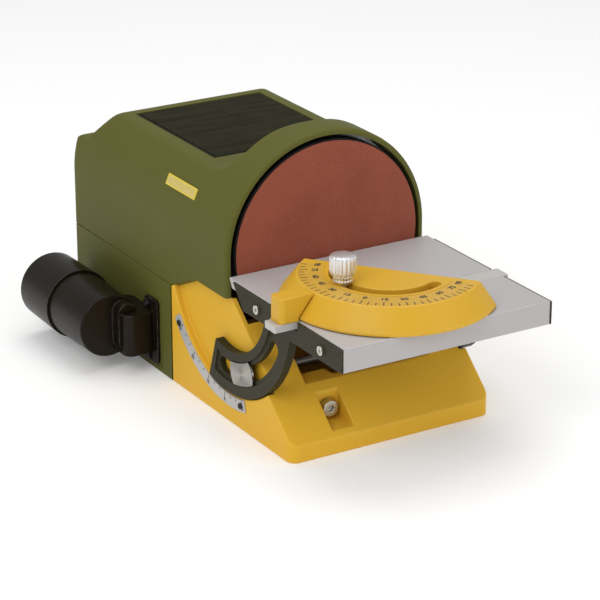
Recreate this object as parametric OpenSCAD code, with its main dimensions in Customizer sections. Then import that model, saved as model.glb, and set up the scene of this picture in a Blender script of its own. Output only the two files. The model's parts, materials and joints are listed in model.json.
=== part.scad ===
// Benchtop disc sander with tilting table, mitre gauge and dust port
// X runs along the table's front edge, Y from the disc's face to the rear, Z up from the bench

/* [Disc] */
// Gap between the backing plate and the hood's wall
disc_gap = 2.5; // [2:0.1:6]
// Thickness of the abrasive sheet
grit_t = 1.2; // [0.8:0.1:2]
// Width of the backing plate's rim around the abrasive
plate_rim = 1; // [0.5:0.1:1.5]
// Thickness of the backing plate
plate_t = 7; // [5:0.5:9]
// Diameter of the hub behind the backing plate
hub_d = 22; // [18:1:24]
// Length of the hub behind the backing plate
hub_l = 11; // [9:0.5:13]
// Height of the disc's axis over the bench
axis_z = 101; // [98:0.5:106]

/* [Housing] */
// Width of the housing and of the base
body_w = 139; // [137:1:146]
// Wall of the two green housings
wall_t = 3.5; // [2.5:0.1:3.8]
// Distance from the disc's face back to the housing's front rim
rim_setback = 1.5; // [0.8:0.1:3]
// Length of the full round ring at the front of the hood
ring_l = 24; // [22:0.5:30]
// Radius of the hollow between the ring and the platform
cove_r = 18; // [12:1:22]
// Height of the flat platform on top of the hood
platform_z = 145; // [142:0.5:150]
// Distance from the rear wall to the platform's rear edge
platform_back = 35; // [35:1:41]
// Height of the ledge behind the platform
ledge_z = 124; // [118:1:130]
// Length of the slope between platform and ledge
ledge_run = 20; // [16:1:24]
// Distance from the disc's face to the rear wall
rear_y = 203; // [202:1:215]
// Radius of the hood's rear upper edge
rear_edge_r = 7; // [3:0.5:10]
// Open seam between the housings and the base
seam = 0.3; // [0.2:0.05:0.5]

/* [Base] */
// Distance from the disc's face to the joint of base and lower housing
joint_y = 69.5; // [66:0.5:74]
// Height of the seam between lower housing and hood
part_z = 63.5; // [61:0.5:66]
// Distance from the disc's face to the foot of the base's raised shoulder
step_y = 40; // [36:1:46]
// Height of the base's shoulder beside the disc
shoulder_z = 77; // [74:0.5:80]
// Distance from the disc's face to the base's front
toe_l = 73.5; // [70:0.5:78]
// Height of the upright lip at the base's front
toe_h = 10.6; // [8:0.2:14]
// Thickness of the base's side walls
base_wall = 7.2; // [6.5:0.1:9.6]
// Thickness of the base's floor
floor_t = 4; // [3:0.5:5]
// Thickness of the sloped front panel
panel_t = 4; // [3:0.5:5]
// Height of the sloped panel's upper edge
panel_top_z = 65; // [62:0.5:68]
// Width of the window in the sloped panel
window_w = 86; // [70:1:100]
// Height of the window's lower edge
window_low_z = 35; // [34:0.5:42]
// Radius of the base's upright front corners
corner_r = 6; // [3:0.5:8]
// Sideways place of the cap screw's pocket
pocket_x = -32; // [-40:1:34]
// Width of the cap screw's pocket
pocket_w = 14.5; // [14:0.5:20]
// Height of the pocket's floor
pocket_floor_z = 13.5; // [12:0.5:15]
// Distance from the disc's face to the pocket's rear wall
pocket_back = 51; // [48:0.5:52]

/* [Table] */
// Drop of the table's top below the disc's axis
table_drop = 8.2; // [6:0.1:10]
// Depth of the table from rear to front edge
table_d = 127; // [110:1:128]
// Gap between the table's rear edge and the disc's face
table_gap = 2.6; // [2:0.1:4]
// Thickness of the table's plate
top_t = 6; // [5:0.5:7]
// Height of the table's front apron
apron_h = 14.6; // [12:0.2:15]
// Thickness of the front apron
apron_t = 4; // [3:0.5:6]
// Width of the rails under the table's side edges
rail_w = 5; // [4:0.5:7]
// Distance from the disc's face to the middle of the mitre groove
groove_y = 76; // [72:1:80]
// Width of the mitre groove
groove_w = 12; // [10:0.5:14]
// Depth of the mitre groove
groove_d = 5; // [4:0.2:5]

/* [Tilt bracket] */
// Distance from the disc's face to the tilt axis
tilt_setback = 2; // [1.5:0.1:2.4]
// Thickness of the bracket's cheek beside the table
cheek_t = 1.4; // [1.2:0.1:3.5]
// Depth of the recess in the base's sides
recess_d = 4.6; // [4.2:0.1:5]
// Inner radius of the sector about the tilt axis
sector_in_r = 45.5; // [44:0.5:47]
// Outer radius of the sector about the tilt axis
sector_out_r = 73; // [72:0.5:75]
// Clearance between the sector and the recess around it
recess_gap = 0.6; // [0.4:0.1:1]
// Angle of the sector's rear end below the horizontal
sector_rear_deg = 72; // [70:1:76]
// Width of the sunk track in the sector's face
track_w = 14.6; // [13:0.2:16]
// Depth of the sunk track
track_d = 1.6; // [0.8:0.1:1.8]
// Radius of the middle of the track
track_r = 58.3; // [57:0.1:59]
// Width of the slot through the sector
slot_w = 9.4; // [8:0.2:11]
// Angle of the clamp below the horizontal
clamp_deg = 107; // [105:1:109]
// Diameter of the clamp block
clamp_d = 26; // [24:0.5:28]
// Radius of the clamp rod
rod_r = 3; // [2.5:0.1:3.5]
// Diameter of the clamp knob
tilt_knob_d = 30; // [24:1:34]
// Length of the clamp knob
tilt_knob_l = 16; // [12:0.5:20]
// Width of the scale strip
strip_w = 7.6; // [6:0.2:9]
// Thickness of the scale strip
strip_t = 0.8; // [0.5:0.1:1.2]

/* [Mitre gauge] */
// Sideways place of the gauge's pivot
gauge_x = -6; // [-14:1:2]
// Angle of the fence to the disc at rest
gauge_set_deg = 51; // [35:1:60]
// Radius of the protractor's top
gauge_top_r = 53; // [50:0.5:55]
// Radius of the protractor's foot
gauge_foot_r = 63; // [60:0.5:65]
// Height of the protractor
gauge_h = 14.6; // [12:0.2:16]
// Height of the upright edge at the protractor's foot
gauge_edge_h = 1.6; // [1:0.1:3]
// Thickness of the fence behind the pivot
fence_t = 5; // [4.5:0.5:8]
// Radius of the middle of the protractor's slot
gauge_slot_r = 31; // [28:0.5:34]
// Width of the protractor's slot
gauge_slot_w = 7; // [6:0.5:8]
// Length of the guide bar to the left of the pivot
bar_left_l = 79; // [74:1:90]
// Length of the guide bar to the right of the pivot
bar_right_l = 80; // [60:1:90]
// Width of the pointer block
pointer_w = 13; // [10:0.5:14]
// Diameter of the gauge's knob
gauge_knob_d = 15.4; // [14:0.2:18]
// Height of the gauge's knob over its collar
gauge_knob_h = 11.6; // [10:0.2:15]
// Count of flutes around the gauge's knob
flute_n = 24; // [16:1:30]

/* [Dust port] */
// Outer diameter of the dust elbow's round end
elbow_d = 42; // [38:0.5:44]
// Outer diameter of the rear sleeve
sleeve_d = 45; // [43:0.1:46]
// Bore of the rear sleeve
sleeve_bore_d = 32; // [28:0.5:33]
// Wall of the elbow
elbow_wall = 2.6; // [2:0.1:2.8]
// Distance of the port's axis from the housing's side
port_off = 25.5; // [24:0.5:30]
// Height of the port's axis over the bench
port_z = 30; // [28:0.5:34]
// Distance from the disc's face to the port's closed front end
port_front = 104; // [100:1:108]
// Distance from the disc's face to the seam of elbow and sleeve
port_seam = 147; // [140:1:152]
// Length of the sleeve behind the seam
sleeve_l = 40; // [28:1:48]

/* [Motor] */
// Radius of the motor's can
can_r = 30; // [28:0.5:31]
// Radius of the motor's shaft
shaft_r = 4; // [3.5:0.1:4.5]
// Radius of the rotor's core
core_r = 21.5; // [19:0.5:22]
// Length of the motor's can
can_l = 86; // [80:1:92]

/* [Controls] */
// Diameter of the speed dial
dial_d = 22; // [18:0.5:23]
// Height of the controls over the bench
control_z = 82; // [80:0.5:86]

/* [Hidden] */
$fn = 96;
overrun = 2;
half_w = body_w / 2;
arch_r = half_w;
rim_y = rim_setback;
ring_y = rim_y + ring_l;
toe_y = -toe_l;
table_z = axis_z - table_drop;
table_front_y = -table_gap - table_d;
plate_r = half_w - wall_t - disc_gap;
disc_r = plate_r - plate_rim;
platform_end = rear_y - platform_back;
run_gap = 0.05;
seat_gap = 0.02;
body_gap = 0.4;
yellow = [0.86, 0.67, 0.18];
green = [0.38, 0.39, 0.20];
black = [0.16, 0.15, 0.15];
dark_grey = [0.29, 0.28, 0.25];
light_grey = [0.75, 0.74, 0.74];
steel = [0.70, 0.70, 0.68];

// Slope of the base's front
slope_deg = atan2(shoulder_z - toe_h, rim_y - toe_y);
panel_rise = panel_t / cos(slope_deg);
function slope_y(z) = rim_y - (shoulder_z - z) / tan(slope_deg);
function panel_in_y(z) = slope_y(z + panel_rise);
chamber_w = body_w - 2 * base_wall;

// Tilt axis, recess, track and clamp
pivot_y = -tilt_setback;
pivot_z = table_z;
recess_r = sector_out_r + recess_gap;
recess_x = half_w - recess_d;
cheek_x0 = half_w + seat_gap;
cheek_x1 = cheek_x0 + cheek_t;
sector_x0 = recess_x + body_gap;
sector_x1 = cheek_x1;
cheek_drop = 0.4;
cheek_low_z = table_z - apron_h;
track_in_r = track_r - track_w / 2;
track_out_r = track_r + track_w / 2;
track_rear_deg = sector_rear_deg + 4;
track_front_deg = 163;
slot_rear_deg = clamp_deg - 24;
slot_front_deg = clamp_deg + 45;
clamp_y = pivot_y + track_r * cos(clamp_deg);
clamp_z = pivot_z - track_r * sin(clamp_deg);
rod_gap = 0.1;
clamp_x0 = sector_x1 - track_d + body_gap;
clamp_x1 = sector_x1 + body_gap;
tongue_gap = 0.3;
tilt_knob_x0 = clamp_x1 + body_gap;
tilt_knob_x1 = tilt_knob_x0 + tilt_knob_l;
knob_cap_t = 4;
rod_end_x = tilt_knob_x1 - knob_cap_t;
knob_lobes = 7;
lobe_r_share = 0.28;
strip_margin = 0.8;
strip_in_r = recess_r + strip_margin;
strip_rear_deg = 36;
strip_front_deg = 104;
strip_screw_inset_deg = 3.5;
cheek_top_y = -9.2;
cheek_heel_y = -21;
notch_gap = 0.6;
bracket_screw_y = [-38.6, -109.1];
bracket_screw_drop = 7.6;
bracket_screw_z = table_z - bracket_screw_drop;

// Table
rail_lift = 0.8;
rail_h = apron_h - rail_lift;
rail_rear_y = -24;
groove_rib_t = 4;
groove_rib_side = 4;
groove_rib_w = groove_w + 2 * groove_rib_side;
rear_bevel = 3.4;

// Mitre gauge
bar_side_gap = 0.3;
bar_floor_gap = 0.3;
bar_top_drop = 0.2;
bar_w = groove_w - 2 * bar_side_gap;
bar_z0 = table_z - groove_d + bar_floor_gap;
bar_z1 = table_z - bar_top_drop;
gauge_lift = 0.3;
gauge_z0 = table_z + gauge_lift;
gauge_z1 = gauge_z0 + gauge_h;
slot_half_deg = 76;
pin_r = 3;
pin_cover = 3;
stud_r = 2.5;
stud_x = gauge_x - gauge_slot_r;
pointer_gap = 0.7;
pointer_l = 70;
pointer_setback = 3.5;
pointer_end_l = bar_left_l - pointer_setback;
pointer_corner_r = 3;
collar_h = 5;
collar_r_share = 0.78;
collar_r = gauge_knob_d * collar_r_share / 2;
knob_z0 = gauge_z1 + body_gap;
knob_z1 = knob_z0 + collar_h + gauge_knob_h;
flute_r_share = 0.045;
stud_cover = 4;
stud_top_z = knob_z1 - stud_cover;

// Dust port
port_x = -half_w - port_off;
elbow_r = elbow_d / 2;
elbow_bore_r = elbow_r - elbow_wall;
flange_t = 2;
flange_y = [85.4, 102];
flange_z = [5, 47.6];
flange_r = 3;
neck_y = [89, 125];
neck_z = [12.4, 39.8];
neck_left_off = 21.5;
neck_r = 6;
port_screw_y = [97.5];
port_screw_z = [43.4, 8.4];
port_wall_gap = 0.1;
spigot_l = 12;
sleeve_taper = 0.6;
elbow_taper = 0.8;
port_shoulder_y = [96, 107];
port_shoulder_off = [10.5, 23.3];
port_shoulder_z = [14.8, 45.4];
port_shoulder_r = 6;
port_rear = port_seam + sleeve_l;

// Motor, from the bulkhead to the fan
bulkhead_t = 3;
bulkhead_y = ring_y - wall_t - bulkhead_t;
hub_gap = 1.5;
bulkhead_bore_r = hub_d / 2 + hub_gap;
deck_t = 3;
deck_drop = 2.5;
deck_z = part_z - deck_drop - deck_t;
shield_y = bulkhead_y + bulkhead_t;
shield_t = 14;
can_y = shield_y + shield_t;
can_wall = 2;
can_end = can_y + can_l;
rear_shield_t = 10;
shield_gap = 3;
shield_end = can_end + rear_shield_t;
bearing_r = 11;
bearing_w = 7;
rear_bearing_r = 9.5;
rear_bearing_w = 6;
core_start = 11;
magnet_gap = 0.8;
magnet_half_deg = 58;
commutator_r = 11;
commutator_gap = 6;
commutator_l = 12;
commutator_end = can_end - core_start;
commutator_y = [commutator_end - commutator_l, commutator_end];
core_y = [can_y + core_start, commutator_y[0] - commutator_gap];
brush_w = 6;
brush_inset = 2;
brush_y = [commutator_y[0] + brush_inset, commutator_y[1] - brush_inset];
holder_wall = 1.6;
fan_gap = 3;
fan_y = shield_end + fan_gap;
fan_t = 9;
fan_r = 26;
fan_blades = 9;
blade_t = 1.6;
fan_hub_r = 8;
shaft_cover = 2.5;
shaft_y = [grit_t + shaft_cover, fan_y + fan_t];
motor_screw_r = 2;
motor_screw_pcd = 44;
motor_screw_head_r = 3.6;
motor_screw_head_h = 2.4;
motor_screw_l = 9;
grub_y = grit_t + plate_t + hub_l / 2;
grub_r = 2;

// Housing screws, mat, label and electrics
chamber_wall_end = 131;
chamber_wall_y = [chamber_wall_end - wall_t, chamber_wall_end];
boss_r = 6.4;
boss_bite = 0.6;
boss_x = half_w - wall_t - boss_r + boss_bite;
boss_y = [chamber_wall_y[1] + boss_r + boss_bite, rear_y - wall_t - boss_r + boss_bite];
boss_top_z = 90;
case_screw_r = 2;
case_screw_head_r = 3.8;
case_screw_head_h = 3.2;
case_screw_sink = 1.5;
case_screw_top_z = 84;
mat_side = 8.8;
mat_front = 13.5;
mat_back = 9;
mat_half_w = sqrt(arch_r * arch_r - (platform_z - axis_z) * (platform_z - axis_z)) - mat_side;
mat_y = [ring_y + cove_r + mat_front, platform_end - mat_back];
mat_sink = 1.4;
mat_proud = 0.5;
mat_gap = 0.3;
mat_rib_n = 46;
label_y = [45.9, 81.6];
label_deg = [154.1, 159.8];
label_t = 0.5;
board_x = [-46, 26];
board_gap = [9, 5.5];
board_y = [chamber_wall_y[1] + board_gap[0], rear_y - wall_t - board_gap[1]];
board_z = 14;
board_t = 1.6;
post_r = 3.2;
post_inset = 5;
capacitor_r = 8;
capacitor_h = 22;
gland_x = -34;
gland_z = 34;
gland_r = 6;
gland_flange_r = 9;
gland_bore_r = 3.4;
gland_flange_t = 2.5;
gland_inner_l = 5;
switch_back = 18.5;
dial_back = 30;
switch_y = joint_y + switch_back;
dial_y = switch_y + dial_back;
vent_n = 9;
vent_w = 3;
vent_pitch = 7;
vent_z = [74, 104];
switch_hole = [7, 11.8];
switch_fit = switch_hole - [seat_gap, seat_gap];
bezel = [8.6, 13.4];
bezel_t = 1.8;
switch_depth = 20;
rocker = [5.4, 9.4];
rocker_gap = 1;
rocker_proud = 3.4;
rocker_sunk = 4;
rocker_pin_r = 1.2;
rocker_cavity = 9;
pot_half = 10;
pot_depth = 14;
pot_shaft_r = 3;
pot_bush_r = 5;
dial_t = 12;
dial_grip_n = 18;
dial_grip_share = 0.07;

// Cross recess of a screw's head
cross_w = 0.8;
cross_depth_share = 0.6;

// Cap screw in the slope
bolt_r = 3;
bolt_head_r = 5;
bolt_head_h = 6;
bolt_l = 14;
bolt_sink = 1;
bolt_seat_y = -pocket_back + bolt_sink;
bolt_cup_r = 6.2;
bolt_z = 20.4;
hex_across = 4;
hex_depth = 2.6;
boss_depth = 20;
boss_side = 3.5;

// Tongue of the base that lies on the lower housing's floor
tongue_w = 116;
tongue_l = 14;
tongue_t = 7;
tongue_screw_x = 48;
tongue_screw_y = joint_y + tongue_l / 2;
tongue_screw_top_z = wall_t + tongue_t - cross_w;
tongue_screw_sink = 2.4;

// Small screws
small_head_r = 2.8;
small_head_h = 1.8;
small_shank_r = 1.5;
small_shank_l = 5;
strip_head_r = 1.9;
strip_head_h = 1;
strip_shank_r = 1;
strip_shank_l = 4;

// Shapes that repeat

module along_x(x0, x1) translate([x0, 0, 0]) rotate([90, 0, 90]) linear_extrude(x1 - x0) children();

module along_y(y0, y1) translate([0, y1, 0]) rotate([90, 0, 0]) linear_extrude(y1 - y0) children();

module along_z(z0, z1) translate([0, 0, z0]) linear_extrude(z1 - z0) children();

module rod_x(r, x0, x1, y, z) translate([x0, y, z]) rotate([0, 90, 0]) cylinder(r = r, h = x1 - x0);

module rod_y(r, y0, y1, x, z) translate([x, y1, z]) rotate([90, 0, 0]) cylinder(r = r, h = y1 - y0);

module rod_z(r, z0, z1, x, y) translate([x, y, z0]) cylinder(r = r, h = z1 - z0);

module block(lo, hi) translate(lo) cube(hi - lo);

module both_sides() {
    children();
    mirror([1, 0, 0]) children();
}

module ring2d(r0, r1) difference() {
    circle(r1);
    circle(r0);
}

// Wedge between two angles, reaching past radius r
module wedge2d(r, a0, a1) {
    far = 2 * r;
    mid = (a0 + a1) / 2;
    polygon([[0, 0], far * [cos(a0), sin(a0)], far * [cos(mid), sin(mid)], far * [cos(a1), sin(a1)]]);
}

module arc_band2d(r0, r1, a0, a1) intersection() {
    ring2d(r0, r1);
    wedge2d(r1, a0, a1);
}

// Band with round ends, as an end mill leaves it
module arc_slot2d(r, w, a0, a1) {
    arc_band2d(r - w / 2, r + w / 2, a0, a1);
    for (a = [a0, a1]) translate(r * [cos(a), sin(a)]) circle(w / 2);
}

module round_rect2d(lo, hi, r) {
    translate(lo + [r, 0]) square(hi - lo - [2 * r, 0]);
    translate(lo + [0, r]) square(hi - lo - [0, 2 * r]);
    for (x = [lo[0] + r, hi[0] - r], y = [lo[1] + r, hi[1] - r]) translate([x, y]) circle(r);
}

function arc_points(c, r, a0, a1, n) = [for (i = [0 : n]) c + r * [cos(a0 + (a1 - a0) * i / n),
    sin(a0 + (a1 - a0) * i / n)]];

// Screw with its head's top at the origin, pointing down, with a cross recess
module cross_screw(head_r, head_h, shank_r, shank_l) difference() {
    union() {
        translate([0, 0, -head_h]) cylinder(r = head_r, h = head_h);
        translate([0, 0, -head_h - shank_l]) cylinder(r = shank_r, h = shank_l + head_h);
    }
    for (a = [0, 90]) rotate([0, 0, a])
        block([-head_r * cross_depth_share, -cross_w / 2, -head_h * cross_depth_share],
            [head_r * cross_depth_share, cross_w / 2, overrun]);
}

// Housings and base

module arch2d(r) translate([0, axis_z]) {
    circle(r);
    translate([-r, -axis_z]) square([2 * r, axis_z]);
}

// Side view of the hood; inset moves it inwards for the hollow
module hood_side2d(inset) {
    open = inset > 0 ? overrun : 0;
    slope = atan2(platform_z - ledge_z, ledge_run);
    shift = [-inset * tan(slope / 2), -inset];
    back = rear_y - inset;
    top = axis_z + arch_r + overrun;
    edge = max(rear_edge_r - inset, seam);
    polygon(concat(
        [[rim_y - open, shoulder_z + seam - open], [rim_y - open, top], [ring_y - inset, top]],
        arc_points([ring_y + cove_r, platform_z + cove_r], cove_r + inset, 180, 270, 10),
        [[platform_end, platform_z] + shift, [platform_end + ledge_run, ledge_z] + shift],
        arc_points([back - edge, ledge_z - inset - edge], edge, 90, 0, 6),
        [[back, part_z + seam - open], [joint_y, part_z + seam - open],
            [step_y, shoulder_z + seam - open]]));
}

module hood_solid(inset) intersection() {
    along_y(rim_y - overrun, rear_y) arch2d(arch_r - inset);
    along_x(-half_w, half_w) hood_side2d(inset);
}

module case_bosses(z0, z1) for (y = boss_y) both_sides() rod_z(boss_r, z0, z1, boss_x, y);

module upper_housing() color(green) difference() {
    union() {
        difference() {
            hood_solid(0);
            hood_solid(wall_t);
        }
        case_bosses(part_z, boss_top_z);
    }
    block([-mat_half_w - mat_gap, mat_y[0] - mat_gap, platform_z - mat_sink],
        [mat_half_w + mat_gap, mat_y[1] + mat_gap, platform_z + overrun]);
    for (y = boss_y) both_sides()
        rod_z(case_screw_r + seat_gap, part_z, case_screw_top_z + overrun, boss_x, y);
    block([half_w - wall_t - overrun, switch_y - switch_hole[0], control_z - switch_hole[1]],
        [half_w + overrun, switch_y + switch_hole[0], control_z + switch_hole[1]]);
    rod_x(pot_bush_r + port_wall_gap, half_w - wall_t - overrun, half_w + overrun, dial_y, control_z);
    for (i = [0 : vent_n - 1]) translate([(i - (vent_n - 1) / 2) * vent_pitch, 0, 0])
        block([-vent_w / 2, rear_y - wall_t - overrun, vent_z[0]],
            [vent_w / 2, rear_y + overrun, vent_z[1]]);
}

module lower_housing() color(green) difference() {
    block([-half_w, joint_y + seam, 0], [half_w, rear_y, part_z]);
    difference() {
        block([-half_w + wall_t, joint_y - overrun, wall_t],
            [half_w - wall_t, rear_y - wall_t, part_z + overrun]);
        case_bosses(0, part_z);
        block([-half_w, chamber_wall_y[0], 0], [half_w, chamber_wall_y[1], deck_z]);
        for (x = board_x, y = board_y) rod_z(post_r, 0, board_z, x + sign(-x) * post_inset,
            y + (y == board_y[0] ? post_inset : -post_inset));
    }
    for (y = boss_y) both_sides() {
        rod_z(case_screw_r + seat_gap, -overrun, part_z + overrun, boss_x, y);
        rod_z(case_screw_head_r + body_gap, -overrun, case_screw_sink + case_screw_head_h, boss_x, y);
    }
    both_sides() {
        rod_z(case_screw_r + seat_gap, -overrun, wall_t + overrun, tongue_screw_x, tongue_screw_y);
        rod_z(case_screw_head_r + body_gap, -overrun, tongue_screw_sink, tongue_screw_x, tongue_screw_y);
    }
    block([-half_w - overrun, neck_y[0] + elbow_wall, neck_z[0] + elbow_wall],
        [-half_w + wall_t + overrun, neck_y[1] - elbow_wall, neck_z[1] - elbow_wall]);
    for (y = port_screw_y, z = port_screw_z)
        rod_x(small_shank_r + seat_gap, -half_w - overrun, -half_w + wall_t + overrun, y, z);
    rod_y(gland_r + seat_gap, rear_y - wall_t - overrun, rear_y + overrun, gland_x, gland_z);
}

module base_side2d() polygon([[toe_y, 0], [joint_y, 0], [joint_y, part_z], [step_y, shoulder_z],
    [rim_y, shoulder_z], [toe_y, toe_h]]);

module chamber_side2d() polygon([[toe_y + panel_t, floor_t], [joint_y + overrun, floor_t],
    [joint_y + overrun, shoulder_z + overrun], [toe_y, shoulder_z + overrun], [toe_y, panel_top_z],
    [panel_in_y(panel_top_z), panel_top_z],
    [toe_y + panel_t, toe_h + panel_t * tan(slope_deg) - panel_rise]]);

module base_frame() color(yellow) difference() {
    union() {
        intersection() {
            along_x(-half_w, half_w) base_side2d();
            along_z(0, shoulder_z) round_rect2d([-half_w, toe_y], [half_w, joint_y + corner_r], corner_r);
        }
        block([-tongue_w / 2, joint_y - tongue_l, wall_t],
            [tongue_w / 2, joint_y + tongue_l, wall_t + tongue_t]);
    }
    difference() {
        along_x(-chamber_w / 2, chamber_w / 2) chamber_side2d();
        block([-tongue_w / 2, joint_y - tongue_l, 0], [tongue_w / 2, rear_y, wall_t + tongue_t]);
        block([pocket_x - pocket_w / 2 - boss_side, toe_y, 0],
            [pocket_x + pocket_w / 2 + boss_side, -pocket_back + boss_depth, window_low_z]);
    }
    block([-window_w / 2, toe_y, window_low_z], [window_w / 2, rim_y, shoulder_z]);
    both_sides() rod_x(recess_r, recess_x, half_w + overrun, pivot_y, pivot_z);
    block([pocket_x - pocket_w / 2, toe_y - overrun, pocket_floor_z],
        [pocket_x + pocket_w / 2, -pocket_back, shoulder_z]);
    rod_y(bolt_cup_r, -pocket_back - overrun, bolt_seat_y, pocket_x, bolt_z);
    rod_y(bolt_r + seat_gap, -pocket_back, -pocket_back + boss_depth + overrun, pocket_x, bolt_z);
    rod_x(rod_r + rod_gap, -half_w - overrun, half_w + overrun, clamp_y, clamp_z);
    both_sides() rod_z(case_screw_r + seat_gap, 0, tongue_screw_top_z, tongue_screw_x, tongue_screw_y);
    for (a = [strip_rear_deg + strip_screw_inset_deg, strip_front_deg - strip_screw_inset_deg])
        rod_x(strip_shank_r + seat_gap, -half_w - overrun, -half_w + strip_shank_l + strip_head_h,
            strip_y(a), strip_z(a));
}

module top_mat() color(black) {
    pitch = (mat_y[1] - mat_y[0]) / mat_rib_n;
    base = platform_z - mat_sink;
    top = platform_z + mat_proud;
    valley = top - pitch / 2;
    along_x(-mat_half_w, mat_half_w) polygon(concat([[mat_y[1], base], [mat_y[0], base]],
        [for (i = [0 : mat_rib_n]) each i < mat_rib_n
            ? [[mat_y[0] + i * pitch, valley], [mat_y[0] + (i + 1 / 2) * pitch, top]]
            : [[mat_y[1], valley]]]));
}

module label_plate() color(yellow) along_y(label_y[0], label_y[1]) translate([0, axis_z])
    arc_band2d(arch_r + seat_gap, arch_r + label_t, label_deg[0], label_deg[1]);

function strip_y(a) = pivot_y + (strip_in_r + strip_w / 2) * cos(a);
function strip_z(a) = pivot_z - (strip_in_r + strip_w / 2) * sin(a);

module scale_strip() color(light_grey) difference() {
    along_x(-half_w - strip_t, -half_w) translate([pivot_y, pivot_z])
        arc_band2d(strip_in_r, strip_in_r + strip_w, -strip_front_deg, -strip_rear_deg);
    for (a = [strip_rear_deg + strip_screw_inset_deg, strip_front_deg - strip_screw_inset_deg])
        rod_x(strip_shank_r + seat_gap, -half_w - strip_t - overrun, -half_w + overrun,
            strip_y(a), strip_z(a));
}

module scale_screws() color(dark_grey)
    for (a = [strip_rear_deg + strip_screw_inset_deg, strip_front_deg - strip_screw_inset_deg])
        translate([-half_w - strip_t - strip_head_h, strip_y(a), strip_z(a)]) rotate([0, -90, 0])
            cross_screw(strip_head_r, strip_head_h, strip_shank_r, strip_shank_l);

module base_bolt() color(steel) difference() {
    union() {
        rod_y(bolt_head_r, bolt_seat_y - bolt_head_h, bolt_seat_y, pocket_x, bolt_z);
        rod_y(bolt_r, bolt_seat_y, bolt_seat_y + bolt_l, pocket_x, bolt_z);
    }
    translate([pocket_x, bolt_seat_y - bolt_head_h + hex_depth, bolt_z]) rotate([90, 0, 0])
        cylinder(r = hex_across / 2 / cos(30), h = hex_depth + overrun, $fn = 6);
}

module case_screws() color(steel) for (y = boss_y) both_sides() translate([boss_x, y, case_screw_sink])
    rotate([180, 0, 0]) cross_screw(case_screw_head_r, case_screw_head_h, case_screw_r,
        case_screw_top_z - case_screw_sink - case_screw_head_h);

module base_screws() color(steel) both_sides()
    translate([tongue_screw_x, tongue_screw_y, 0]) rotate([180, 0, 0]) cross_screw(case_screw_head_r,
        tongue_screw_sink, case_screw_r, tongue_screw_top_z - tongue_screw_sink);

module bulkhead() color(light_grey) difference() {
    union() {
        intersection() {
            along_y(bulkhead_y, shield_y) arch2d(arch_r - wall_t - seat_gap);
            block([-half_w, bulkhead_y, shoulder_z], [half_w, shield_y, axis_z + arch_r]);
        }
        block([-chamber_w / 2, bulkhead_y, deck_z + deck_t], [chamber_w / 2, shield_y, axis_z]);
    }
    rod_y(bulkhead_bore_r, bulkhead_y - overrun, shield_y + overrun, 0, axis_z);
    motor_screw_places() rod_y(motor_screw_r + seat_gap, bulkhead_y - overrun, shield_y + overrun, 0, 0);
}

module dust_deck() color(light_grey)
    block([-chamber_w / 2, bulkhead_y, deck_z], [chamber_w / 2, chamber_wall_y[1], deck_z + deck_t]);

// Dust port

module dust_elbow() color(black) {
    left = -half_w - neck_left_off;
    difference() {
        union() {
            along_x(-half_w - flange_t, -half_w)
                round_rect2d([flange_y[0], flange_z[0]], [flange_y[1], flange_z[1]], flange_r);
            along_z(neck_z[0], neck_z[1]) round_rect2d([left, neck_y[0]], [-half_w, neck_y[1]], neck_r);
            along_y(port_shoulder_y[0], port_shoulder_y[1])
                round_rect2d([-half_w - port_shoulder_off[1], port_shoulder_z[0]],
                    [-half_w - port_shoulder_off[0], port_shoulder_z[1]], port_shoulder_r);
            translate([port_x, port_seam, port_z]) rotate([90, 0, 0])
                cylinder(r1 = elbow_r, r2 = elbow_r - elbow_taper, h = port_seam - port_front);
        }
        block([left + elbow_wall, neck_y[0] + elbow_wall, neck_z[0] + elbow_wall],
            [-half_w + overrun, neck_y[1] - elbow_wall, neck_z[1] - elbow_wall]);
        rod_y(elbow_bore_r, port_front + elbow_wall, port_seam + overrun, port_x, port_z);
        for (y = port_screw_y, z = port_screw_z)
            rod_x(small_shank_r + seat_gap, -half_w - flange_t - overrun, -half_w + overrun, y, z);
    }
}

module dust_sleeve() color(black) difference() {
    union() {
        rod_y(elbow_bore_r - port_wall_gap, port_seam - spigot_l, port_seam + overrun, port_x, port_z);
        translate([port_x, port_rear, port_z]) rotate([90, 0, 0])
            cylinder(r1 = sleeve_d / 2 - sleeve_taper, r2 = sleeve_d / 2, h = port_rear - port_seam - seam);
    }
    rod_y(sleeve_bore_d / 2, port_seam - spigot_l - overrun, port_rear + overrun, port_x, port_z);
}

module dust_port_screws() color(black) for (y = port_screw_y, z = port_screw_z)
    translate([-half_w - flange_t - small_head_h, y, z]) rotate([0, -90, 0])
        cross_screw(small_head_r, small_head_h, small_shank_r, small_shank_l);

// Motor and disc, turned about the disc's axis

module motor_screw_places() for (a = [45 : 90 : 315])
    translate([motor_screw_pcd / 2 * cos(a), 0, axis_z + motor_screw_pcd / 2 * sin(a)]) children();

module motor_can() color(steel) difference() {
    rod_y(can_r, can_y, can_end, 0, axis_z);
    rod_y(can_r - can_wall, can_y - overrun, can_end + overrun, 0, axis_z);
}

module front_shield() color(light_grey) difference() {
    rod_y(can_r, shield_y, can_y, 0, axis_z);
    rod_y(bearing_r + seat_gap, can_y - bearing_w, can_y + overrun, 0, axis_z);
    rod_y(shaft_r + shield_gap, shield_y - overrun, can_y + overrun, 0, axis_z);
    motor_screw_places() rod_y(motor_screw_r + seat_gap, shield_y - overrun, shield_y + motor_screw_l, 0, 0);
}

module rear_shield() color(light_grey) difference() {
    rod_y(can_r, can_end, shield_end, 0, axis_z);
    rod_y(rear_bearing_r + seat_gap, can_end - overrun, can_end + rear_bearing_w, 0, axis_z);
    rod_y(shaft_r + shield_gap, can_end - overrun, shield_end + overrun, 0, axis_z);
}

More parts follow.
